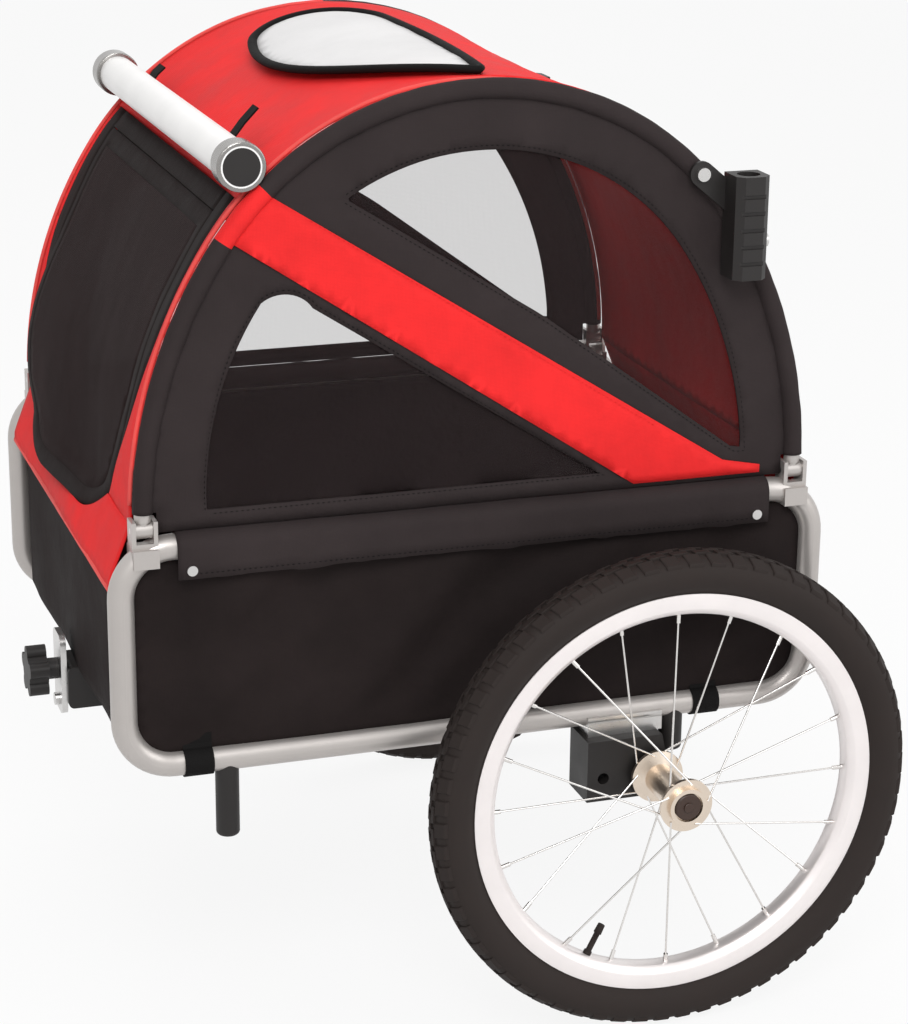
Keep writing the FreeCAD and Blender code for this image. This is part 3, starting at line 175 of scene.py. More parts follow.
def net(name, colour, thin, thick, pitch=0.0012, axes=("X", "Z")):
    """Fine open net: its threads cover between a thin and a thick share of the surface."""
    mat, tree, bsdf = nodes_of(name)
    coords = tree.nodes.new("ShaderNodeTexCoord").outputs["Object"]
    threads = weave_height(tree, coords, pitch, axes)
    cloud = speckle(tree, coords, Scale=14.0, Detail=3.0)
    uneven(tree, bsdf, cloud, colour, 0.7, 1.0)
    link(tree, ramp(tree, threads, 0.0, 0.6, thick, thin), bsdf.inputs["Alpha"])
    bsdf.inputs["Roughness"].default_value = 0.75
    bsdf.inputs["Specular IOR Level"].default_value = 0.06
    return mat


def metal(name, colour, rough, grain=0.03, metallic=1.0, wear=0.08):
    """Drawn or plated metal with a fine grain and slightly uneven tone."""
    mat, tree, bsdf = nodes_of(name)
    coords = tree.nodes.new("ShaderNodeTexCoord").outputs["Object"]
    fine = speckle(tree, coords, Scale=420.0, Detail=3.0, Roughness=0.6)
    broad = speckle(tree, coords, Scale=16.0, Detail=4.0, Roughness=0.6)
    uneven(tree, bsdf, broad, colour, 1 - wear, 1 + wear)
    link(tree, ramp(tree, fine, 0.3, 0.7, rough - grain, rough + grain), bsdf.inputs["Roughness"])
    bump(tree, bsdf, fine, 0.02, 0.0001)
    bsdf.inputs["Metallic"].default_value = metallic
    return mat


def plastic(name, colour, rough=0.5, grain=0.12, scale=900.0, gloss=0.5):
    """Moulded plastic or rubber with a fine texture."""
    mat, tree, bsdf = nodes_of(name)
    coords = tree.nodes.new("ShaderNodeTexCoord").outputs["Object"]
    fine = speckle(tree, coords, Scale=scale, Detail=2.0)
    broad = speckle(tree, coords, Scale=22.0, Detail=4.0)
    uneven(tree, bsdf, broad, colour, 0.8, 1.25)
    link(tree, ramp(tree, broad, 0.3, 0.7, rough - grain / 2, rough + grain / 2), bsdf.inputs["Roughness"])
    bump(tree, bsdf, fine, 0.12, 0.0003)
    bsdf.inputs["Specular IOR Level"].default_value = gloss
    return mat


BLACK = (0.034, 0.0265, 0.0268)
DEEP_BLACK = (0.0175, 0.0128, 0.0125)
RED = (0.80, 0.024, 0.025)
MAT = {
    "black_side": cloth("black_cloth_side", BLACK),
    "black_wall": cloth("black_cloth_wall", DEEP_BLACK, spread=0.34),
    "black_across": cloth("black_cloth_across", DEEP_BLACK, axes=("Y", "Z")),
    "red_side": cloth("red_cloth_side", RED, rough=0.62, gloss=0.12),
    "red_roof": cloth("red_cloth_roof", RED, axes=("X", "Y"), rough=0.62, gloss=0.12),
    "red_across": cloth("red_cloth_across", RED, axes=("Y", "Z"), rough=0.62, gloss=0.12),
    "white": cloth("white_cloth", (0.74, 0.73, 0.73), axes=("X", "Y"), rough=0.5, spread=0.08, gloss=0.3),
    "webbing": cloth("webbing", (0.009, 0.0085, 0.0085), pitch=0.0024),
    # Red cord cloth drawn lighter and pinker than the red cloth: a painted highlight along the rolled edge.
    "piping_painted_highlight": cloth("piping_painted_highlight", (0.80, 0.10, 0.09), pitch=0.001, rough=0.5),
    "net": net("window_net", (0.098, 0.074, 0.075), 0.14, 0.22),
    "door_net": net("door_net", (0.026, 0.0165, 0.0165), 0.86, 0.98, axes=("Y", "Z")),
    "tube": metal("frame_tube", (0.47, 0.44, 0.42), 0.36, metallic=0.6),
    "steel": metal("plated_steel", (0.62, 0.61, 0.60), 0.30),
    "chrome": metal("bright_metal", (0.74, 0.72, 0.70), 0.20),
    "collar": metal("collar_metal", (0.30, 0.29, 0.28), 0.26),
    "hub": metal("hub_metal", (0.72, 0.62, 0.52), 0.30),
    "bar": metal("bar_tube", (0.86, 0.85, 0.84), 0.42, metallic=0.35),
    "rim": metal("rim_metal", (0.86, 0.81, 0.80), 0.34, metallic=0.55),
    "plastic": plastic("moulded_plastic", (0.015, 0.0130, 0.0125), gloss=0.35),
    "board": plastic("floor_plastic", (0.018, 0.018, 0.018), rough=0.6),
    "button": plastic("button_plastic", (0.032, 0.014, 0.008), rough=0.4),
    "rubber": plastic("tyre_rubber", (0.025, 0.0190, 0.0172), rough=0.72, scale=420.0, gloss=0.18),
}


# ---- shapes
def at(x, y, z):
    """A place given from the frame's middle."""
    return Vector((x + SHIFT, y, z))


def piece(name, verts, faces, body, materials, slot, thickness=0.0, smooth=True):
    """New mesh piece that rides on a body and takes the given materials; the slot is not used."""
    mesh = bpy.data.meshes.new(name)
    mesh.from_pydata([tuple(v) for v in verts], [], [tuple(int(i) for i in f) for f in faces])
    mesh.validate()
    for mat in materials:
        mesh.materials.append(mat)
    obj = bpy.data.objects.new(name, mesh)
    bpy.context.scene.collection.objects.link(obj)
    if smooth:
        mesh.shade_smooth()
    if thickness:
        solid = obj.modifiers.new("Thickness", "SOLIDIFY")
        solid.thickness = thickness
        solid.offset = 0.0
    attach(obj, body)
    return obj


def circle(radius, sides):
    """Section of a round cord or tube."""
    turns = [2 * math.pi * i / sides for i in range(sides)]
    return [(radius * math.cos(t), radius * math.sin(t)) for t in turns]


def flat_strip(half_w, half_t):
    """Section of a flat strap."""
    return [(-half_w, -half_t), (half_w, -half_t), (half_w, half_t), (-half_w, half_t)]


def sweep(path, section, up, closed=False, scale=None):
    """A section carried along a path. Its first axis leans towards up."""
    path = [Vector(p) for p in path]
    count, sides = len(path), len(section)
    verts, faces = [], []
    for i, p in enumerate(path):
        before = path[i - 1] if i or closed else p
        after = path[(i + 1) % count] if i < count - 1 or closed else p
        along = (after - before).normalized()
        lean = Vector(up)
        first = (lean - lean.dot(along) * along).normalized()
        second = along.cross(first)
        grow = scale(i) if scale else 1.0
        verts += [p + first * (a * grow) + second * (b * grow) for a, b in section]
    rings = count if closed else count - 1
    for i in range(rings):
        j = (i + 1) % count
        for k in range(sides):
            m = (k + 1) % sides
            faces.append((i * sides + k, i * sides + m, j * sides + m, j * sides + k))
    if not closed:
        faces.append(tuple(reversed(range(sides))))
        faces.append(tuple(range((count - 1) * sides, count * sides)))
    return verts, faces


def lathe(profile, segments, centre):
    """Closed profile of (radius, y) spun about the wheel's axle."""
    verts, faces = [], []
    n = len(profile)
    for i in range(segments):
        turn = 2 * math.pi * i / segments
        verts += [centre + Vector((r * math.cos(turn), y, r * math.sin(turn))) for r, y in profile]
    for i in range(segments):
        j = (i + 1) % segments
        for k in range(n):
            m = (k + 1) % n
            faces.append((i * n + k, j * n + k, j * n + m, i * n + m))
    return verts, faces


def rounded(points, radius, steps=4, closed=True):
    """Polygon with its corners rounded."""
    out = []
    n = len(points)
    for i in range(n):
        p = Vector(points[i]).to_2d()
        if not closed and i in (0, n - 1):
            out.append(tuple(p))
            continue
        a, b = Vector(points[i - 1]).to_2d() - p, Vector(points[(i + 1) % n]).to_2d() - p
        cut = min(radius, 0.45 * a.length, 0.45 * b.length)
        start, end = p + a.normalized() * cut, p + b.normalized() * cut
        for k in range(steps + 1):
            t = k / steps
            out.append(tuple(start * (1 - t)**2 + p * (2 * t * (1 - t)) + end * t**2))
    return out


def arch_rows(inset, foot, step):
    """Arch outline, front foot to rear foot: x, z and the outward normal."""
    side_r, top_r = ARCH_SIDE_R - inset, ARCH_TOP_R - inset
    rows = []
    if foot < ARCH_FOOT:
        rows.append((ARCH_HALF - inset, foot, 1.0, 0.0))
        first = 0.0
    else:
        first = math.asin((foot - ARCH_FOOT) / side_r)
    for turn in np.linspace(first, MEET, max(3, round(side_r * (MEET - first) / step)))[:-1]:
        c, s = math.cos(turn), math.sin(turn)
        rows.append((side_r * c - LEAN, ARCH_FOOT + side_r * s, c, s))
    for turn in np.linspace(MEET, math.pi / 2, round(top_r * (math.pi / 2 - MEET) / step)):
        c, s = math.cos(turn), math.sin(turn)
        rows.append((top_r * c, ARCH_TOP_Z + top_r * s, c, s))
    rear = [(-x, z, -nx, nz) for x, z, nx, nz in reversed(rows[:-1])]
    return np.array(rows + rear)


def inside(points, loop):
    """Which points lie inside a closed loop."""
    x, y = points[:, 0], points[:, 1]
    found = np.zeros(len(points), bool)
    loop = np.asarray(loop)
    for (x0, y0), (x1, y1) in zip(loop, np.roll(loop, -1, 0)):
        if y0 != y1:
            crosses = (y0 > y) != (y1 > y)
            found ^= crosses & (x < (x1 - x0) * (y - y0) / (y1 - y0) + x0)
    return found


def divided(runs, step):
    """Points about a step apart on straight runs, without the last run's end."""
    out = []
    for (x0, y0), (x1, y1) in runs:
        n = max(1, round(math.hypot(x1 - x0, y1 - y0) / step))
        out += [(x0 + (x1 - x0) * i / n, y0 + (y1 - y0) * i / n) for i in range(n)]
    return out


def spaced(loop, step):
    """Closed loop with points about a step apart."""
    return divided(zip(loop, np.roll(np.asarray(loop), -1, 0)), step)


def edge_distance(points, loops):
    """How far each point lies from the nearest of the loops."""
    best = np.full(len(points), 1e9)
    for loop in loops:
        a = np.asarray(loop)
        b = np.roll(a, -1, 0)
        for p, q in zip(a, b):
            d = q - p
            t = np.clip(((points - p) @ d) / max(d @ d, 1e-12), 0, 1)
            best = np.minimum(best, np.linalg.norm(points - p - t[:, None] * d, axis=1))
    return best


def fill(outer, holes, step):
    """Flat region with holes as an even net of triangles: points and faces."""
    loops = [spaced(outer, step)] + [spaced(h, step) for h in holes]
    verts, edges = [], []
    for loop in loops:
        start = len(verts)
        verts += loop
        edges += [(start + i, start + (i + 1) % len(loop)) for i in range(len(loop))]
    low, high = np.min(loops[0], 0), np.max(loops[0], 0)
    grid = []
    for j, y in enumerate(np.arange(low[1], high[1], step * 0.866)):
        for x in np.arange(low[0] + (j % 2) * step / 2, high[0], step):
            grid.append((x, y))
    grid = np.array(grid)
    keep = inside(grid, loops[0]) & (edge_distance(grid, loops) > step * 0.55)
    for hole in loops[1:]:
        keep &= ~inside(grid, hole)
    verts += [tuple(p) for p in grid[keep]]
    flat, _, faces, *_ = delaunay_2d_cdt([Vector(v) for v in verts], edges, [], 0, 1e-7)
    flat = np.array([tuple(v) for v in flat])
    middles = np.array([flat[list(f)].mean(0) for f in faces])
    keep = inside(middles, loops[0])
    for hole in loops[1:]:
        keep &= ~inside(middles, hole)
    return flat, [f for f, k in zip(faces, keep) if k]


def arc3(a, b, c, steps=14):
    """Points of the arc through three places, without the last."""
    (ax, ay), (bx, by), (cx, cy) = a, b, c
    d = 2 * (ax * (by - cy) + bx * (cy - ay) + cx * (ay - by))
    ux = ((ax**2 + ay**2) * (by - cy) + (bx**2 + by**2) * (cy - ay) + (cx**2 + cy**2) * (ay - by)) / d
    uy = ((ax**2 + ay**2) * (cx - bx) + (bx**2 + by**2) * (ax - cx) + (cx**2 + cy**2) * (bx - ax)) / d
    turns = [math.atan2(y - uy, x - ux) for x, y in (a, b, c)]
    span = (turns[2] - turns[0]) % (2 * math.pi)
    if (turns[1] - turns[0]) % (2 * math.pi) > span:
        span -= 2 * math.pi
    r = math.hypot(ax - ux, ay - uy)
    return [(ux + r * math.cos(turns[0] + span * i / steps), uy + r * math.sin(turns[0] + span * i / steps))
            for i in range(steps)]


def ease(t):
    """Smooth step from 0 to 1."""
    t = min(1.0, max(0.0, t))
    return t * t * (3 - 2 * t)


def ripple(x, y, z, scale, amount):
    """Even noise for creases, the same on each run."""
    return noise.noise(Vector((x, y, z)) * scale) * amount


def join_lists(parts):
    """One mesh from several pairs of points and faces."""
    verts, faces = [], []
    for v, f in parts:
        start = len(verts)
        verts += list(v)
        faces += [tuple(i + start for i in face) for face in f]
    return verts, faces


def stitch_row(path, out, pitch=0.0052, length=0.0034, width=0.0005):
    """Row of sewn stitches along a path, as small grains."""
    path = [Vector(p) for p in path]
    gone = [0.0]
    for a, b in zip(path, path[1:]):
        gone.append(gone[-1] + (b - a).length)
    parts = []
    for s in np.arange(pitch, gone[-1] - pitch, pitch):
        i = min(len(path) - 2, int(np.searchsorted(gone, s)) - 1)
        along = (path[i + 1] - path[i]).normalized()
        p = path[i] + along * (s - gone[i])
        up = Vector(out)
        side = along.cross(up)
        ends = [p - along * length / 2, p + along * length / 2]
        verts = ends + [p + side * width, p - side * width, p + up * width * 1.2]
        parts.append((verts, [(0, 2, 4), (2, 1, 4), (1, 3, 4), (3, 0, 4)]))
    return join_lists(parts)


SIDES = {"left": 1, "right": -1}


# ---- side arches: border cloth, nets, stripe, sleeve, piping
BORDER = 0.066
STRIPE_SLOPE = 0.645
STRIPE_TOP_X, STRIPE_TOP_Z = 0.211, 0.861  # where the stripe's edges meet the front of the arch
STRIPE_LOW_X, STRIPE_LOW_Z = 0.178, 0.763
STRIPE_REAR_X = 0.291
KNEE_X, KNEE_Z = 0.060, 0.722  # bend in the upper window's lower edge, behind the middle
WINDOW_REAR_X, WINDOW_REAR_Z = 0.262, 0.574
KNEE_FRONT_SLOPE, KNEE_REAR_SLOPE = 0.6316, 0.7327
PANEL_CORNER_X = 0.3145
LINING_FOOT = 0.60  # the sleeve's red lining shows above this height
PIPING_R, PIPING_IN, PIPING_SINK = 0.0023, 0.0078, 0.0062
PIPING_INSET, PIPING_FOOT = -0.0004, PANEL_FOOT + 0.022
NET_OUT, PANEL_OUT, STRIPE_OUT = -0.0009, 0.0006, 0.0030  # from the loop's plane to each layer
WINDOW_SEAM_OUT, STRIPE_SEAM_OUT, STRIPE_SEAM_IN = 0.0022, 0.0044, 0.006


def stripe_top(x):
    return STRIPE_TOP_Z - STRIPE_SLOPE * (STRIPE_TOP_X - x)


def stripe_low(x):
    return STRIPE_LOW_Z - STRIPE_SLOPE * (STRIPE_LOW_X - x)


def window_low(x):
    """Lower edge of the upper window."""
    if x >= -KNEE_X:
        return KNEE_Z + KNEE_FRONT_SLOPE * (x + KNEE_X)
    return max(WINDOW_REAR_Z, WINDOW_REAR_Z + KNEE_REAR_SLOPE * (x + WINDOW_REAR_X))


def upper_window(grow):
    """Outline of the upper window, let out by a margin."""
    rows = arch_rows(BORDER - grow, PANEL_FOOT, 0.01)
    kept = [(x, z) for x, z, _, _ in rows if z > window_low(x) - grow]
    rear, front = kept[-1], kept[0]
    return kept + [(x, window_low(x) - grow) for x in np.linspace(rear[0], front[0], 40)]


def lower_window(grow):
    """Outline of the lower window, let out by a margin."""
    front, top, back, tail = (0.267, 0.560), (0.213, 0.752), (0.164, 0.744), (-0.122, 0.560)
    loop = arc3(front, (0.254, 0.665), top) + arc3(top, (0.190, 0.759), back) + [back, tail]
    if not grow:
        return loop
    middle = np.mean(loop, 0)
    out = []
    for x, z in loop:
        d = np.array([x, z]) - middle
        out.append(tuple(np.array([x, z]) + d / np.linalg.norm(d) * grow))
    return out


def panel_outline():
    """Outline of an arch's black cloth."""
    rows = arch_rows(HOOP_INSET, SLEEVE_FOOT, 0.01)
    foot = [(-PANEL_CORNER_X, SLEEVE_FOOT), (-PANEL_CORNER_X, PANEL_SKIRT),
            (PANEL_CORNER_X, PANEL_SKIRT), (PANEL_CORNER_X, SLEEVE_FOOT)]
    return [(x, z) for x, z, _, _ in rows] + foot


def stripe_outline():
    """Outline of the red stripe."""
    foot = PANEL_FOOT + 0.0003
    tail_z = foot + 0.016
    tail = STRIPE_TOP_X - (STRIPE_TOP_Z - tail_z) / STRIPE_SLOPE
    low_end = STRIPE_LOW_X - (STRIPE_LOW_Z - foot) / STRIPE_SLOPE
    rows = [(x, z) for x, z, _, _ in arch_rows(HOOP_INSET + 0.006, PANEL_FOOT, 0.006)]
    front = [(x, z) for x, z in rows if x > 0.15 and stripe_low(x) < z < stripe_top(x)]
    rear = [(-STRIPE_REAR_X, foot + 0.008), (-STRIPE_REAR_X, foot)]
    return front + [(tail, tail_z)] + rear + [(low_end, foot)]


def make_side(side):
    """All the cloth of one arch."""
    sign = SIDES[side]
    body = side + "_arch"

    def on(x, z, out=0.0):
        return at(x, sign * (LOOP_Y + out), z)

    flat, faces = fill(panel_outline(), [upper_window(0), lower_window(0)], CLOTH_STEP)
    verts = [on(x, z, PANEL_OUT + ripple(x, sign, z, 14, 0.0012)) for x, z in flat]
    panel = piece(side + "_side_cloth", verts, faces, body, [MAT["black_side"]], "black_cloth", PANEL_T)
    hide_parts(side + "_side_panel")

    parts = []
    for loop in (upper_window(0.005), lower_window(0.005)):
        flat, faces = fill(loop, (), NET_STEP)
        parts.append(([on(x, z, NET_OUT + ripple(x, sign, z, 9, 0.0010)) for x, z in flat], faces))
    verts, faces = join_lists(parts)
    nets = piece(side + "_window_nets", verts, faces, body, [MAT["net"]], "net")
    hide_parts(side + "_mesh")

    flat, faces = fill(stripe_outline(), (), FINE_STEP)
    verts = [on(x, z, STRIPE_OUT + ripple(x, sign, z, 18, 0.0010)) for x, z in flat]
    band = piece(side + "_stripe_cloth", verts, faces, body, [MAT["red_side"]], "red_cloth", STRIPE_T)
    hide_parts(side + "_stripe")

    rows = arch_rows(HOOP_INSET, SLEEVE_FOOT, 0.004)
    path = [on(x, z) for x, z, _, _ in rows]
    sides = 20
    verts, faces = sweep(path, circle(SLEEVE_R, sides), (0, 1, 0),
                         scale=lambda i: 1 + 0.05 * noise.noise(path[i] * 60))
    sleeve = piece(side + "_arch_sleeve", verts, faces, body,
                   [MAT["black_side"], MAT["red_side"]], "black_cloth")
    ends = [i for i, (x, z, _, _) in enumerate(rows) if x > 0.15 and stripe_low(x) < z < stripe_top(x)]
    inner = range(10, 15) if sign > 0 else range(15, 20)  # the quarter next to the covers
    for index, poly in enumerate(sleeve.data.polygons):
        row, place = divmod(index, sides)
        lining = place in inner and row < len(path) // 2 and rows[row][1] > LINING_FOOT
        if row < len(path) - 1 and (lining or ends[0] <= row < ends[-1]):
            poly.material_index = 1

    rows = arch_rows(PIPING_INSET, PIPING_FOOT, 0.006)
    path = []
    for x, z, nx, nz in rows:
        sunk = PIPING_SINK * ease((0.12 - x) / 0.25)
        path.append(at(x - nx * sunk, sign * (LOOP_Y - PIPING_IN - 0.3 * sunk), z - nz * sunk))
    verts, faces = sweep(path, circle(PIPING_R, 8), (0, 1, 0))
    # The piping cord wears the lighter red, a painted highlight along the arch's edge.
    piece(side + "_piping", verts, faces, body, [MAT["piping_painted_highlight"]], "red_cloth")

    seams = []
    for loop in (upper_window(0.004), lower_window(0.004)):
        closed = spaced(loop, 0.02)
        seams.append(stitch_row([on(x, z, WINDOW_SEAM_OUT) for x, z in closed + closed[:1]], (0, sign, 0)))
    verts, faces = join_lists(seams)
    piece(side + "_window_stitches", verts, faces, body, [MAT["webbing"]], "black_cloth")
    lines = []
    for edge, shift in ((stripe_top, -STRIPE_SEAM_IN), (stripe_low, STRIPE_SEAM_IN)):
        xs = np.linspace(0.17, -0.18, 60)
        points = [(x, edge(x) + shift) for x in xs if edge(x) + shift > PANEL_FOOT + 0.012]
        lines.append(stitch_row([on(x, z, STRIPE_SEAM_OUT) for x, z in points], (0, sign, 0)))
    verts, faces = join_lists(lines)
    piece(side + "_stripe_stitches", verts, faces, body, [MAT["red_side"]], "red_cloth")


for name in SIDES:
    make_side(name)


# ---- covers between the arches
def cover_profile():
    """Middle of the covers' cloth from the front hem over the roof to the rear hem: length, x, z, normal."""
    apron = [(HEM_X, HEM_Z, 1.0, 0.0), (HEM_X, 0.490, 1.0, 0.0), (HEM_X - 0.001, 0.4945, 0.97, 0.2),
             (0.336, 0.545, 0.93, 0.36)]
    arch = [tuple(r) for r in arch_rows(0.0015, PANEL_FOOT, 0.006)]
    rear = [(-x, z, -nx, nz) for x, z, nx, nz in reversed(apron)]
    rows = np.array(apron + arch + rear)
    steps = np.hypot(np.diff(rows[:, 0]), np.diff(rows[:, 1]))
    return np.concatenate([[0], np.cumsum(steps)]), rows


RUN, PROFILE = cover_profile()


def run_at_height(z):
    """Length along the front half of the profile at a height."""
    front = PROFILE[:, 0] > 0
    return float(np.interp(z, PROFILE[front, 1], RUN[front]))


def on_cover(s, y, out):
    """Place on the covers' surface at a length and a y."""
    x, z, nx, nz = [float(np.interp(s, RUN, PROFILE[:, k])) for k in range(4)]
    return at(x + nx * out, y, z + nz * out)


def run_at_turn(turn):
    """Length along the profile at a turn of the arch's top arc."""
    z = ARCH_TOP_Z + ARCH_TOP_R * math.sin(turn)
    s = run_at_height(z)
    return s if turn < math.pi / 2 else RUN[-1] - s


def sag(y, half, depth):
    """How far the cloth dips between the arches."""
    return -depth * max(0.0, 1 - (y / half)**2)


FOOT_RUN = run_at_height(PANEL_FOOT)
ROOF_SAG, FRONT_SAG, REAR_SAG = 0.006, 0.002, 0.004
SLACK_OUT, SLACK_Y, SLACK_Z = 0.017, 0.10, 0.74  # the door hangs loose below this y and z


def fold_with_arches(obj):
    """Gives the piece its own copy of its mesh."""
    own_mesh(obj)


def slack(y, z):
    """How far the door's cloth stands out on its far side, low down, where it hangs loose."""
    return SLACK_OUT * ease((SLACK_Y - y) / 0.22) * ease((SLACK_Z - z) / 0.16)


def cover_piece(name, regions, body, materials, slot, depth, thickness=COVER_T, step=CLOTH_STEP,
                loose=None):
    """Cloth cut from the covers' surface, sagging by a depth.

    Each region is a loop of (length, y), its holes and its material's place.
    """
    parts, marks = [], []
    for loop, holes, mark in regions:
        flat, faces = fill(loop, holes, step)
        verts = []
        for s, y in flat:
            swell = sag(y, COVER_HALF_Y, depth)
            swell += ripple(s, y * 0.5, 0.3, 11, 0.0022)
            swell += ripple(s, y, 1.7, 34, 0.0006)
            edge = min(1.0, max(0.0, (COVER_HALF_Y - abs(y)) / 0.03))
            place = on_cover(s, y, swell * edge)
            if loose:
                place.x += loose(y, place.z)
            verts.append(place)
        parts.append((verts, faces))
        marks += [mark] * len(faces)
    obj = piece(name, *join_lists(parts), body, materials, slot, thickness)
    obj.data.polygons.foreach_set("material_index", marks)
    return obj


def door_half(z, margin):
    """Half width of the door's opening at a height."""
    low, round_r = DOOR_LOW + margin, DOOR_ROUND - margin
    if z >= low + round_r:
        return DOOR_HALF_Y - margin
    drop = low + round_r - z
    return DOOR_HALF_Y - DOOR_ROUND + math.sqrt(max(0.0, round_r**2 - drop**2))


def door_edge(low, high, margin, steps=26):
    """One upright edge of the door's opening: (length, half width) from the bottom up."""
    bottom = max(low, DOOR_LOW + margin)
    curve_top = DOOR_LOW + DOOR_ROUND
    zs = []
    if bottom < curve_top:
        first = math.acos(min(1.0, (curve_top - bottom) / (DOOR_ROUND - margin)))
        zs = [curve_top - (DOOR_ROUND - margin) * math.cos(t) for t in np.linspace(first, math.pi / 2, steps)]
    zs += [high]
    return [(run_at_height(z), door_half(z, margin)) for z in zs]


def mirrored(edge):
    """Closed loop from one upright edge and its mirror image."""
    return list(edge) + [(s, -y) for s, y in reversed(edge)]


def across(start, end, half):
    """Loop of a cover's whole width between two lengths."""
    return [(start, half), (end, half), (end, -half), (start, -half)]


ROOF_START, ROOF_END = run_at_turn(FRONT_SPLIT), run_at_turn(REAR_SPLIT)
REAR_FOOT_RUN = RUN[-1] - FOOT_RUN
half, low = COVER_HALF_Y, APRON_HALF_Y
roof = cover_piece("roof_cloth", [(across(ROOF_START, ROOF_END, half), (), 0)], "frame",
                   [MAT["red_roof"]], "red_cloth", ROOF_SAG)
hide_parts("roof_cover")
fold_with_arches(roof)

# The strips beside the door are red low down, and black with a narrow red edge higher up
TOP_RUN = run_at_height(DOOR_TOP)
edge = door_edge(PANEL_FOOT, DOOR_TOP, 0.0)
BAND_Y = half - 0.012  # inner side of the narrow red edge
RED_FADE_LOW, RED_FADE_HIGH = 0.590, 0.730
fade = []
for share in np.linspace(0, 1, 11):
    z = RED_FADE_LOW + share * (RED_FADE_HIGH - RED_FADE_LOW)
    fade.append((run_at_height(z), door_half(z, 0.0) + (BAND_Y - door_half(z, 0.0)) * ease(share)))
split_run, band_run = fade[0][0], fade[-1][0]
low_strip = [(FOOT_RUN, half), (band_run, half)] + list(reversed(fade))
low_strip += [p for p in reversed(edge) if p[0] < split_run]
high_strip = [(ROOF_START, BAND_Y), (ROOF_START, DOOR_HALF_Y)]
high_strip += [p for p in reversed(edge) if p[0] > split_run] + fade
band = [(band_run, half), (ROOF_START, half), (ROOF_START, BAND_Y), (band_run, BAND_Y)]
regions = [(across(TOP_RUN, ROOF_START, DOOR_HALF_Y), (), 1)]
for strip, mark in ((low_strip, 0), (high_strip, 1), (band, 0)):
    regions += [(strip, (), mark), ([(s, -y) for s, y in strip], (), mark)]
front = cover_piece("front_cloth", regions, "frame",
                    [MAT["red_across"], MAT["black_across"]], "red_cloth", FRONT_SAG)
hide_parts("front_cover")
fold_with_arches(front)

edge = [p for p in door_edge(DOOR_LOW, PANEL_FOOT, 0.0) if p[0] <= FOOT_RUN + 1e-6]
edge[-1] = (FOOT_RUN, door_half(PANEL_FOOT, 0.0))
loop = [(0.0, low), (FOOT_RUN, low)] + list(reversed(edge)) + [(s, -y) for s, y in edge]
loop += [(FOOT_RUN, -low), (0.0, -low)]
apron = cover_piece("front_apron", [(loop, (), 0)], "frame", [MAT["red_across"]], "red_cloth", 0.0,
                    step=FINE_STEP)
# The rolled hems wear the piping's lighter red, a painted highlight along the hem.
ROLL_R = 0.0036
for name, sign in (("front", 1), ("rear", -1)):
    path = [at(sign * (HEM_X - 0.0016), y, HEM_Z + 0.0005 + ripple(y, sign, 0, 30, 0.0005))
            for y in np.linspace(-low, low, 60)]
    verts, faces = sweep(path, circle(ROLL_R, 10), (0, 0, 1))
    piece(name + "_rolled_hem", verts, faces, "frame", [MAT["piping_painted_highlight"]], "red_cloth")

DOOR_GAP, DOOR_HEM = 0.0006, 0.0166  # from the opening's edge to the door, and to its net
edge = door_edge(DOOR_LOW, DOOR_TOP - DOOR_GAP, DOOR_GAP)
hem = mirrored(door_edge(DOOR_LOW, DOOR_TOP - DOOR_HEM, DOOR_HEM))
door = cover_piece("front_door_net", [(mirrored(edge), [hem], 1), (hem, (), 0)], "door",
                   [MAT["door_net"], MAT["black_across"]], "net", FRONT_SAG, DOOR_T, FINE_STEP, slack)
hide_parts("front_door")
fold_with_arches(door)

rear = cover_piece("rear_cloth", [(across(ROOF_END, REAR_FOOT_RUN, half), (), 0)], "frame",
                   [MAT["red_across"]], "red_cloth", REAR_SAG)
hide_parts("rear_cover")
fold_with_arches(rear)
rear_apron = cover_piece("rear_apron", [(across(REAR_FOOT_RUN, RUN[-1], low), (), 0)], "frame",
                         [MAT["red_across"]], "red_cloth", 0.0)


# ---- roof flap: a leaf with a bound edge
LEAF_TIP, LEAF_END, LEAF_END_R = Vector((0.0, 0.246)), Vector((0.052, -0.097)), 0.065
LEAF_REAR_R, LEAF_FRONT_R = 2.0, 0.350
LEAF_OUT, LEAF_CROWN = 0.0030, 0.0042
BINDING_OUT, BINDING_T, BINDING_W = 0.0042, 0.0040, 0.0052


def leaf_flank(radius, toward):
    """Middle and end of one long side, an arc that runs into the round end."""
    span = (LEAF_END - LEAF_TIP).length
    along = (LEAF_END - LEAF_TIP) / span
    across = Vector((along.y, -along.x)) * toward
    step = (radius**2 - (radius - LEAF_END_R)**2 + span**2) / (2 * span)
    centre = LEAF_TIP + along * step + across * math.sqrt(radius**2 - step**2)
    touch = LEAF_END + (LEAF_END - centre).normalized() * LEAF_END_R
    middle = centre + ((LEAF_TIP + touch) / 2 - centre).normalized() * radius
    return middle, touch


def leaf_outline():
    """Outline of the leaf: two flanks and a round end."""
    rear_mid, rear_touch = leaf_flank(LEAF_REAR_R, -1)
    front_mid, front_touch = leaf_flank(LEAF_FRONT_R, 1)
    far = LEAF_END + (LEAF_END - LEAF_TIP).normalized() * LEAF_END_R
    loop = arc3(LEAF_TIP, rear_mid, rear_touch, 30) + arc3(rear_touch, far, front_touch, 36)
    return loop + arc3(front_touch, front_mid, LEAF_TIP, 30)


def roof_height(x, out):
    """Height of a surface that lies a little above the roof."""
    return ARCH_TOP_Z + math.sqrt((ARCH_TOP_R + out)**2 - x**2)


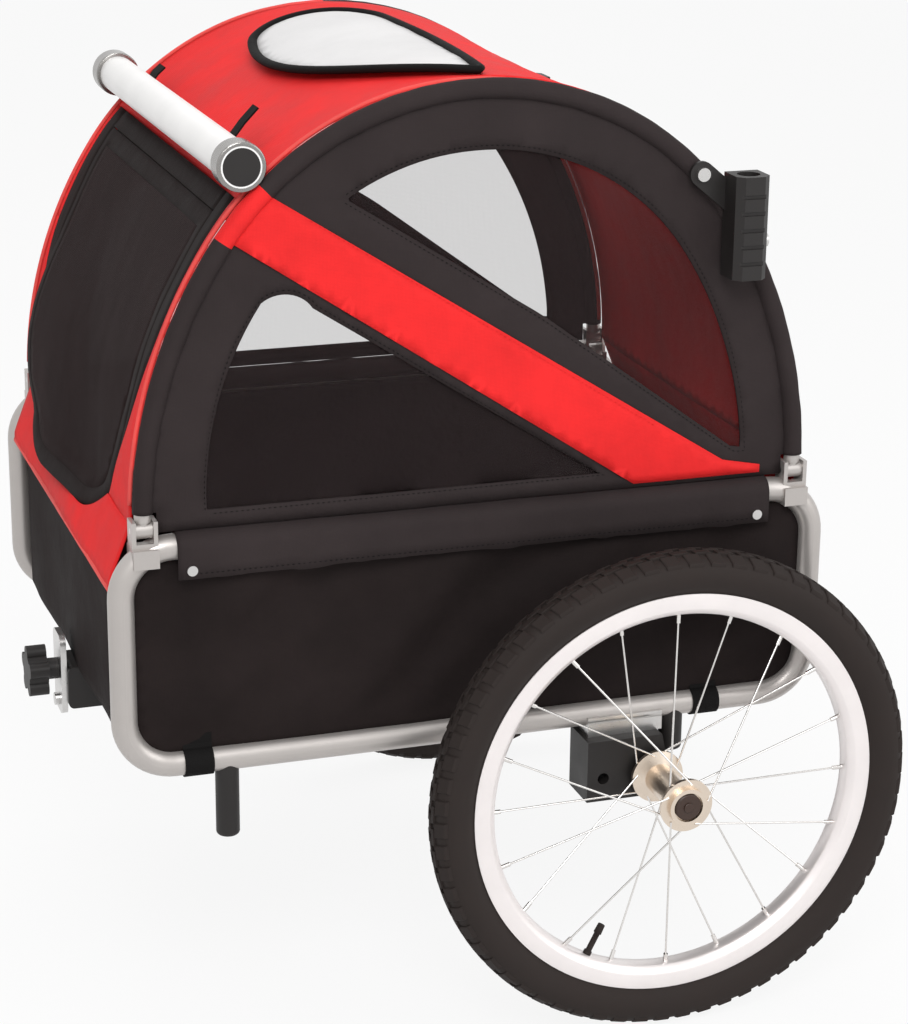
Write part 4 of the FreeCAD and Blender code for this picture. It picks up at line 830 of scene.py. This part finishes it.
outline = leaf_outline()
flat, faces = fill(outline, (), FINE_STEP)
depth = edge_distance(flat, [spaced(outline, FINE_STEP)])
verts = []
for (x, y), d in zip(flat, depth):
    crown = LEAF_CROWN * min(1, d / 0.05)**0.6
    verts.append(at(x, y, roof_height(x, LEAF_OUT + crown + ripple(x, y, 0.5, 20, 0.0012))))
leaf = piece("roof_leaf", verts, faces, "flap", [MAT["white"]], "white_cloth", COVER_T)
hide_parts("roof_flap")
fold_with_arches(leaf)

spots = spaced(outline, 0.006)
middle = np.mean(spots, 0)
path = []
for i, (x, y) in enumerate(spots):
    (x0, y0), (x1, y1) = spots[i - 1], spots[(i + 1) % len(spots)]
    out = Vector((y1 - y0, x0 - x1)).normalized()
    if out.dot(Vector((x, y)) - Vector(middle)) < 0:
        out = -out
    px, py = x + out.x * BINDING_T, y + out.y * BINDING_T
    path.append(at(px, py, roof_height(px, BINDING_OUT)))
section = [(BINDING_T * a, BINDING_W * b) for a, b in circle(1, 12)]
verts, faces = sweep(path, section, (0, 0, 1), closed=True)
binding = piece("roof_leaf_binding", verts, faces, "flap", [MAT["webbing"]], "binding")
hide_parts("roof_flap_binding")
fold_with_arches(binding)


# ---- tub: walls, sleeves on the rails, straps
WALL_SEAM, WALL_CORNER_R = 0.03, 0.036
SLEEVE_HALF, FLAP_DROP, SLEEVE_DROP, SEAM_DROP = 0.298, 0.028, 0.006, 0.0235
STRAP_X, STRAP_HALF_W, STRAP_HALF_T, STRAP_TAIL = (0.281, -0.240), 0.014, 0.0008, 0.010
END_HALF_Y, END_CORNER = 0.242, (0.332, 0.2675)
END_LOW, END_HIGH = 0.3258, 0.4826


def strips(rows, n):
    """Faces between rows of n points each."""
    return [(i * n + k, i * n + k + 1, (i + 1) * n + k + 1, (i + 1) * n + k)
            for i in range(rows - 1) for k in range(n - 1)]


def make_wall(side):
    """Creased cloth wall inside a side loop."""
    sign = SIDES[side]
    half_x = LOOP_X - TUBE_R + 0.004
    low, high = LOOP_LOW + TUBE_R - 0.004, LOOP_HIGH - TUBE_R + 0.002
    loop = rounded([(half_x, low), (half_x, high), (-half_x, high), (-half_x, low)], WALL_CORNER_R, 8)
    flat, faces = fill(loop, (), CLOTH_STEP)
    depth = edge_distance(flat, [loop])
    verts = []
    for (x, z), d in zip(flat, depth):
        crease = ripple(x + z, 0.25 * (x - z), sign * 3, 13, 0.020) + ripple(x + 0.6 * z, sign, z, 19, 0.0040)
        swell = min(1, d / 0.05) * (0.0045 + ripple(x + z, sign * 3, z - x, 7, 0.006) + crease)
        verts.append(at(x, sign * (LOOP_Y + swell), z))
    wall = piece(side + "_wall_cloth", verts, faces, "frame", [MAT["black_wall"]], "black_cloth", COVER_T)
    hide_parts(side + "_wall")


def rail_sleeve(side):
    """Cloth sleeve over a top rail, with its flap's row of stitches."""
    sign = SIDES[side]
    radius = TUBE_R + 0.0013
    section = [(radius + 0.0003, LOOP_HIGH - FLAP_DROP), (radius + 0.0002, LOOP_HIGH - FLAP_DROP / 2)]
    section += [(radius * math.cos(t), LOOP_HIGH + radius * math.sin(t)) for t in np.linspace(0, math.pi, 15)]
    section.append((-radius, LOOP_HIGH - SLEEVE_DROP))
    xs = np.linspace(-SLEEVE_HALF, SLEEVE_HALF, 100)
    verts = []
    for x in xs:
        for k, (y, z) in enumerate(section):
            loose = ripple(x, sign * 2, z, 26, 0.0010) + ripple(x * 3, sign, z, 18, 0.0006)
            grow = 1 + max(0.0, loose) / radius
            drop = ripple(x, sign * 5, 0.2, 12, 0.0015) if k == 0 else 0.0
            verts.append(at(x, sign * (LOOP_Y + y * grow), LOOP_HIGH + (z - LOOP_HIGH) * grow + drop))
    sleeve = piece(side + "_rail_sleeve", verts, strips(len(xs), len(section)), "frame",
                   [MAT["black_side"]], "black_cloth", SLEEVE_T)
    seam = [at(x, sign * (LOOP_Y + radius + 0.0018), LOOP_HIGH - SEAM_DROP)
            for x in np.linspace(-0.29, 0.29, 60)]
    seam = stitch_row(seam, (0, sign, 0))
    piece(side + "_rail_stitches", *seam, "frame", [MAT["webbing"]], "black_cloth")
    return sleeve


def end_wall(sign):
    """Front or rear wall of the tub, bent round to the side loops."""
    x = LOOP_X - 0.003
    corner_x, corner_y = END_CORNER
    plan = [(corner_x, corner_y), (x, END_HALF_Y), (x, -END_HALF_Y), (corner_x, -corner_y)]
    plan = rounded(plan, 0.02, 5, closed=False)
    spots = divided(zip(plan, plan[1:]), CLOTH_STEP) + [plan[-1]]
    zs = np.linspace(END_LOW, END_HIGH, 16)
    verts = []
    for px, py in spots:
        freedom = min(1, max(0.0, (END_HALF_Y - abs(py)) / 0.06))
        for z in zs:
            belly = 0.0015 * math.sin(math.pi * (z - zs[0]) / (zs[-1] - zs[0]))
            swell = freedom * (belly + ripple(py, z, sign, 9, 0.003))
            verts.append(at(sign * (px + min(0.0025, swell)), py, z))
    name = "front" if sign > 0 else "rear"
    wall = piece(name + "_wall_cloth", verts, strips(len(spots), len(zs)), "frame",
                 [MAT["black_across"]], "black_cloth", COVER_T)
    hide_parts(name + "_wall")


def rail_strap(x, sign):
    """Webbing round a bottom rail, with its two ends sewn together above it."""
    radius = TUBE_R + 0.0011
    half_gap, top = 0.0012, LOOP_LOW + TUBE_R + 0.006
    route = [(half_gap, top + STRAP_TAIL), (half_gap, top)]
    for t in np.linspace(math.radians(80), math.radians(-260), 30):
        route.append((radius * math.cos(t), LOOP_LOW + radius * math.sin(t)))
    route += [(-half_gap, top), (-half_gap, top + STRAP_TAIL)]
    path = [at(x, sign * LOOP_Y + y, z) for y, z in route]
    return sweep(path, flat_strip(STRAP_HALF_W, STRAP_HALF_T), (1, 0, 0))


for name in SIDES:
    make_wall(name)
sleeves = [rail_sleeve(name) for name in SIDES]
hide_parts("top_sleeves")
end_wall(1)
end_wall(-1)
straps = join_lists([rail_strap(x, sign) for x in STRAP_X for sign in (1, -1)])
strap = piece("rail_webbing", *straps, "frame", [MAT["webbing"]], "black_cloth", smooth=False)
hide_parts("rail_straps")


# ---- wheels
WHEEL_SEGMENTS, TREAD_COUNT = 144, 66
TYRE_WALL, TYRE_INSIDE = 0.004, 0.78  # wall's thickness, and the inside's share of the width
SHOULDER_R = 0.2295  # the tread lies outside this radius
VALVE_TURN, VALVE_SEAT_R = math.radians(-63), 0.187


def tyre_section():
    """Outer skin of the tyre from one bead to the other, and its inside: (radius, y)."""
    points = [(0.2025, 0.0112), (0.2095, 0.0114), (0.2145, 0.0172), (0.2215, 0.0218), (0.2295, 0.0232),
              (0.2365, 0.0218), (0.2420, 0.0180), (0.2455, 0.0120), (0.2470, 0.0060), (0.2474, 0.0)]
    points += [(r, -y) for r, y in reversed(points[:-1])]
    inner = [(r - TYRE_WALL, y * TYRE_INSIDE) for r, y in reversed(points[1:-1])]
    return points, inner


def skin(y):
    """Radius of the tyre's skin at a place across the tread."""
    points = [p for p in tyre_section()[0] if p[0] > SHOULDER_R]
    ys = [p[1] for p in points][::-1]
    rs = [p[0] for p in points][::-1]
    return float(np.interp(y, ys, rs))


def tread_blocks(centre):
    """Blocks of the tread: two middle rows and two shoulder rows, each block with a chamfered top."""
    parts = []
    # y from and to, height, phase and share of the pitch
    rows = [(0.0005, 0.0068, 0.0024, 0.0, 0.74), (-0.0068, -0.0005, 0.0024, 0.5, 0.74),
            (0.0086, 0.0196, 0.0027, 0.5, 0.66), (-0.0196, -0.0086, 0.0027, 0.0, 0.66)]
    for low, high, height, phase, share in rows:
        for i in range(TREAD_COUNT):
            start = 2 * math.pi * (i + phase) / TREAD_COUNT
            width = 2 * math.pi / TREAD_COUNT * share
            slant = 0.10 * width * (1 if low > 0 else -1)
            verts = []
            for level, grow in ((-0.0015, 1.0), (height * 0.8, 1.0), (height, 0.86)):
                mid_t, mid_y = start + width / 2, (low + high) / 2
                for t, y in ((start, low), (start, high), (start + width, high), (start + width, low)):
                    t = mid_t + (t - mid_t) * grow + slant * (y - mid_y) / 0.006
                    y = mid_y + (y - mid_y) * grow
                    flank = max(0.0, abs(y) - 0.012) / 0.012
                    r = skin(y) + level * (1 - 0.35 * flank)
                    out = y + math.copysign(level * 0.75 * flank, y)
                    verts.append(centre + Vector((r * math.cos(t), out, r * math.sin(t))))
            faces = [(3, 2, 1, 0), (8, 9, 10, 11)]
            for k in range(4):
                m = (k + 1) % 4
                faces += [(k, m, 4 + m, 4 + k), (4 + k, 4 + m, 8 + m, 8 + k)]
            parts.append((verts, faces))
    return join_lists(parts)


def make_wheel(side):
    """Tyre with its tread, rim and valve. The hub and the spokes stay as they are."""
    sign = SIDES[side]
    body = side + "_wheel"
    centre = at(AXLE_X, sign * WHEEL_Y, AXLE_Z)
    outer, inner = tyre_section()
    verts, faces = join_lists([lathe(outer + inner, WHEEL_SEGMENTS, centre), tread_blocks(centre)])
    tyre = piece(side + "_tyre_rubber", verts, faces, body, [MAT["rubber"]], "tyre_rubber")
    tyre.data.set_sharp_from_angle(angle=math.radians(38))
    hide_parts(side + "_tyre")
    top = [(0.2094, 0.0140), (0.2094, 0.0128), (0.2078, 0.0122), (0.1950, 0.0118), (0.1900, 0.0070),
           (0.1890, 0.0)]
    low = [(0.1870, 0.0), (0.1868, 0.0066), (0.1880, 0.0088), (0.1932, 0.0136), (0.1950, 0.0143),
           (0.2070, 0.0144)]
    section = top + [(r, -y) for r, y in reversed(top[:-1])] + [(r, -y) for r, y in reversed(low[1:])] + low
    verts, faces = lathe(section, WHEEL_SEGMENTS, centre)
    ring = piece(side + "_rim_ring", verts, faces, body, [MAT["rim"]], "rim_metal")
    ring.data.set_sharp_from_angle(angle=math.radians(50))
    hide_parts(side + "_rim")
    c, s = math.cos(VALVE_TURN), math.sin(VALVE_TURN)
    base, inward = centre + Vector((VALVE_SEAT_R * c, 0, VALVE_SEAT_R * s)), Vector((-c, 0, -s))
    path = [base + inward * d for d in (-0.003, 0.004, 0.0042, 0.024, 0.0242, 0.034)]
    radii = [0.0042, 0.0042, 0.0030, 0.0030, 0.0041, 0.0036]
    verts, faces = sweep(path, circle(1.0, 12), (0, 1, 0), scale=lambda i: radii[i])
    piece(side + "_valve", verts, faces, body, [MAT["rubber"]], "tyre_rubber")


for name in SIDES:
    make_wheel(name)


# ---- spreader bar's straps
BAR_TURN, BAR_OUT = math.radians(46.4), 0.0233
BAR_X = (ARCH_TOP_R + BAR_OUT) * math.cos(BAR_TURN)
BAR_Z = ARCH_TOP_Z + (ARCH_TOP_R + BAR_OUT) * math.sin(BAR_TURN)
TAB_R, TAB_LEAN, TAB_HALF_T = 0.0203, math.radians(128), 0.0009


def bar_strap(y, half_w, tail):
    """Webbing tab behind the bar with a tail that stands up."""
    path = [at(BAR_X + TAB_R * math.cos(t), y, BAR_Z + TAB_R * math.sin(t))
            for t in np.linspace(math.radians(150), math.radians(245), 12)]
    behind = Vector((math.cos(TAB_LEAN), 0, math.sin(TAB_LEAN)))
    last = path[0]
    path = [last + behind * tail + Vector((-0.004, 0, 0.002)), last + behind * tail * 0.5] + path
    return sweep(path, flat_strip(half_w, TAB_HALF_T), (0, 1, 0))


parts = join_lists([bar_strap(y=0.176, half_w=0.009, tail=0.030),
                    bar_strap(y=-0.165, half_w=0.012, tail=0.012)])
piece("bar_webbing", *parts, "spreader", [MAT["webbing"]], "binding", smooth=False)


# ---- materials of the pieces that stay as they are
BY_SLOT = {"frame_tube": "tube", "steel": "steel", "black_cloth": "black_side", "net": "net",
           "red_cloth": "red_side", "white_cloth": "white", "binding": "webbing", "black_plastic": "plastic",
           "bar_white": "bar", "bright_metal": "chrome", "rim_metal": "rim", "tyre_rubber": "rubber",
           "button": "button"}
BY_NODE = {"floor_board": "board", "hinge_yokes": "tube", "left_knuckles": "tube", "right_knuckles": "tube",
           "bar_collars": "collar", "left_hub": "hub", "right_hub": "hub", "left_axle": "button",
           "right_axle": "button"}
for row in frame["record"]["subparts"]:
    obj = NODES[row["node"]]
    obj.data.materials.clear()
    obj.data.materials.append(MAT[BY_NODE.get(row["node"], BY_SLOT[row["material_slot"]])])


# ---- stage, light and camera
def seen_rays(tree):
    """1 for what the camera sees, also in gloss and through glass."""
    rays = tree.nodes.new("ShaderNodeLightPath").outputs
    mirrors = math_node(tree, "MAXIMUM", rays["Is Glossy Ray"], rays["Is Transmission Ray"])
    return math_node(tree, "MAXIMUM", rays["Is Camera Ray"], mirrors)


def plain(name, colour, glow):
    """Pale surface that shows near white to the camera and still takes a shadow."""
    mat, tree, bsdf = nodes_of(name)
    bsdf.inputs["Base Color"].default_value = (*colour, 1)
    bsdf.inputs["Roughness"].default_value = 0.9
    light = tree.nodes.new("ShaderNodeEmission")
    light.inputs["Color"].default_value = (1, 1, 1, 1)
    mix = tree.nodes.new("ShaderNodeMixShader")
    link(tree, math_node(tree, "MULTIPLY", seen_rays(tree), glow), mix.inputs["Fac"])
    link(tree, bsdf.outputs["BSDF"], mix.inputs[1])
    link(tree, light.outputs["Emission"], mix.inputs[2])
    link(tree, mix.outputs["Shader"], tree.nodes["Material Output"].inputs["Surface"])
    return mat


FLOOR_HALF, FLOOR_Z = 30, -0.0005
floor_verts = [(x * FLOOR_HALF, y * FLOOR_HALF, FLOOR_Z) for x, y in ((-1, -1), (1, -1), (1, 1), (-1, 1))]
mesh = bpy.data.meshes.new("floor")
mesh.from_pydata(floor_verts, [], [(0, 1, 2, 3)])
mesh.materials.append(plain("pale_floor", (0.88, 0.88, 0.88), 0.88))
floor = bpy.data.objects.new("floor", mesh)
bpy.context.scene.collection.objects.link(floor)

world = bpy.data.worlds.new("studio")
bpy.context.scene.world = world
world.use_nodes = True
tree = world.node_tree
back = tree.nodes["Background"]
WORLD_LIGHT = 0.55
back.inputs["Color"].default_value = (1, 1, 1, 1)
link(tree, ramp(tree, seen_rays(tree), 0, 1, WORLD_LIGHT, 1.0), back.inputs["Strength"])


def lamp(name, place, target, size, power):
    """Square area lamp turned to a target."""
    data = bpy.data.lights.new(name, "AREA")
    data.size = size
    data.energy = power
    obj = bpy.data.objects.new(name, data)
    obj.location = place
    obj.rotation_mode = "QUATERNION"
    obj.rotation_quaternion = (Vector(target) - Vector(place)).to_track_quat("-Z", "Y")
    bpy.context.scene.collection.objects.link(obj)


lamp("key", (0.9, 2.7, 2.8), (0, 0, 0.5), size=1.6, power=62)
lamp("fill", (-2.4, 2.2, 1.8), (0, 0, 0.5), size=2.2, power=32)
lamp("top", (0.2, -1.2, 3.2), (0, 0, 0.6), size=2.0, power=21)

# Camera fitted to the wheel and the near side of the frame in the photograph
yaw, pitch, roll = 0.32733, 0.32053, 0.01060
CAMERA_AT = at(0.80943, 2.57871, 1.34382)
FOCAL_PIXELS, IMAGE_HEIGHT, SENSOR = 2692.2, 1024, 36.0
ahead = Vector((-math.sin(yaw) * math.cos(pitch), -math.cos(yaw) * math.cos(pitch), -math.sin(pitch)))
right = ahead.cross(Vector((0, 0, 1))).normalized()
up = right.cross(ahead)
right, up = right * math.cos(roll) + up * math.sin(roll), up * math.cos(roll) - right * math.sin(roll)
cam = bpy.data.cameras.new("camera")
cam.sensor_width = SENSOR
cam.lens = FOCAL_PIXELS * SENSOR / IMAGE_HEIGHT
cam.clip_end = 60.0
camera = bpy.data.objects.new("camera", cam)
turned = Matrix((right, up, -ahead)).transposed().to_4x4()
camera.matrix_world = Matrix.Translation(CAMERA_AT) @ turned
bpy.context.scene.collection.objects.link(camera)
bpy.context.scene.camera = camera
bpy.context.scene.view_settings.view_transform = "Standard"

bpy.context.view_layer.update()
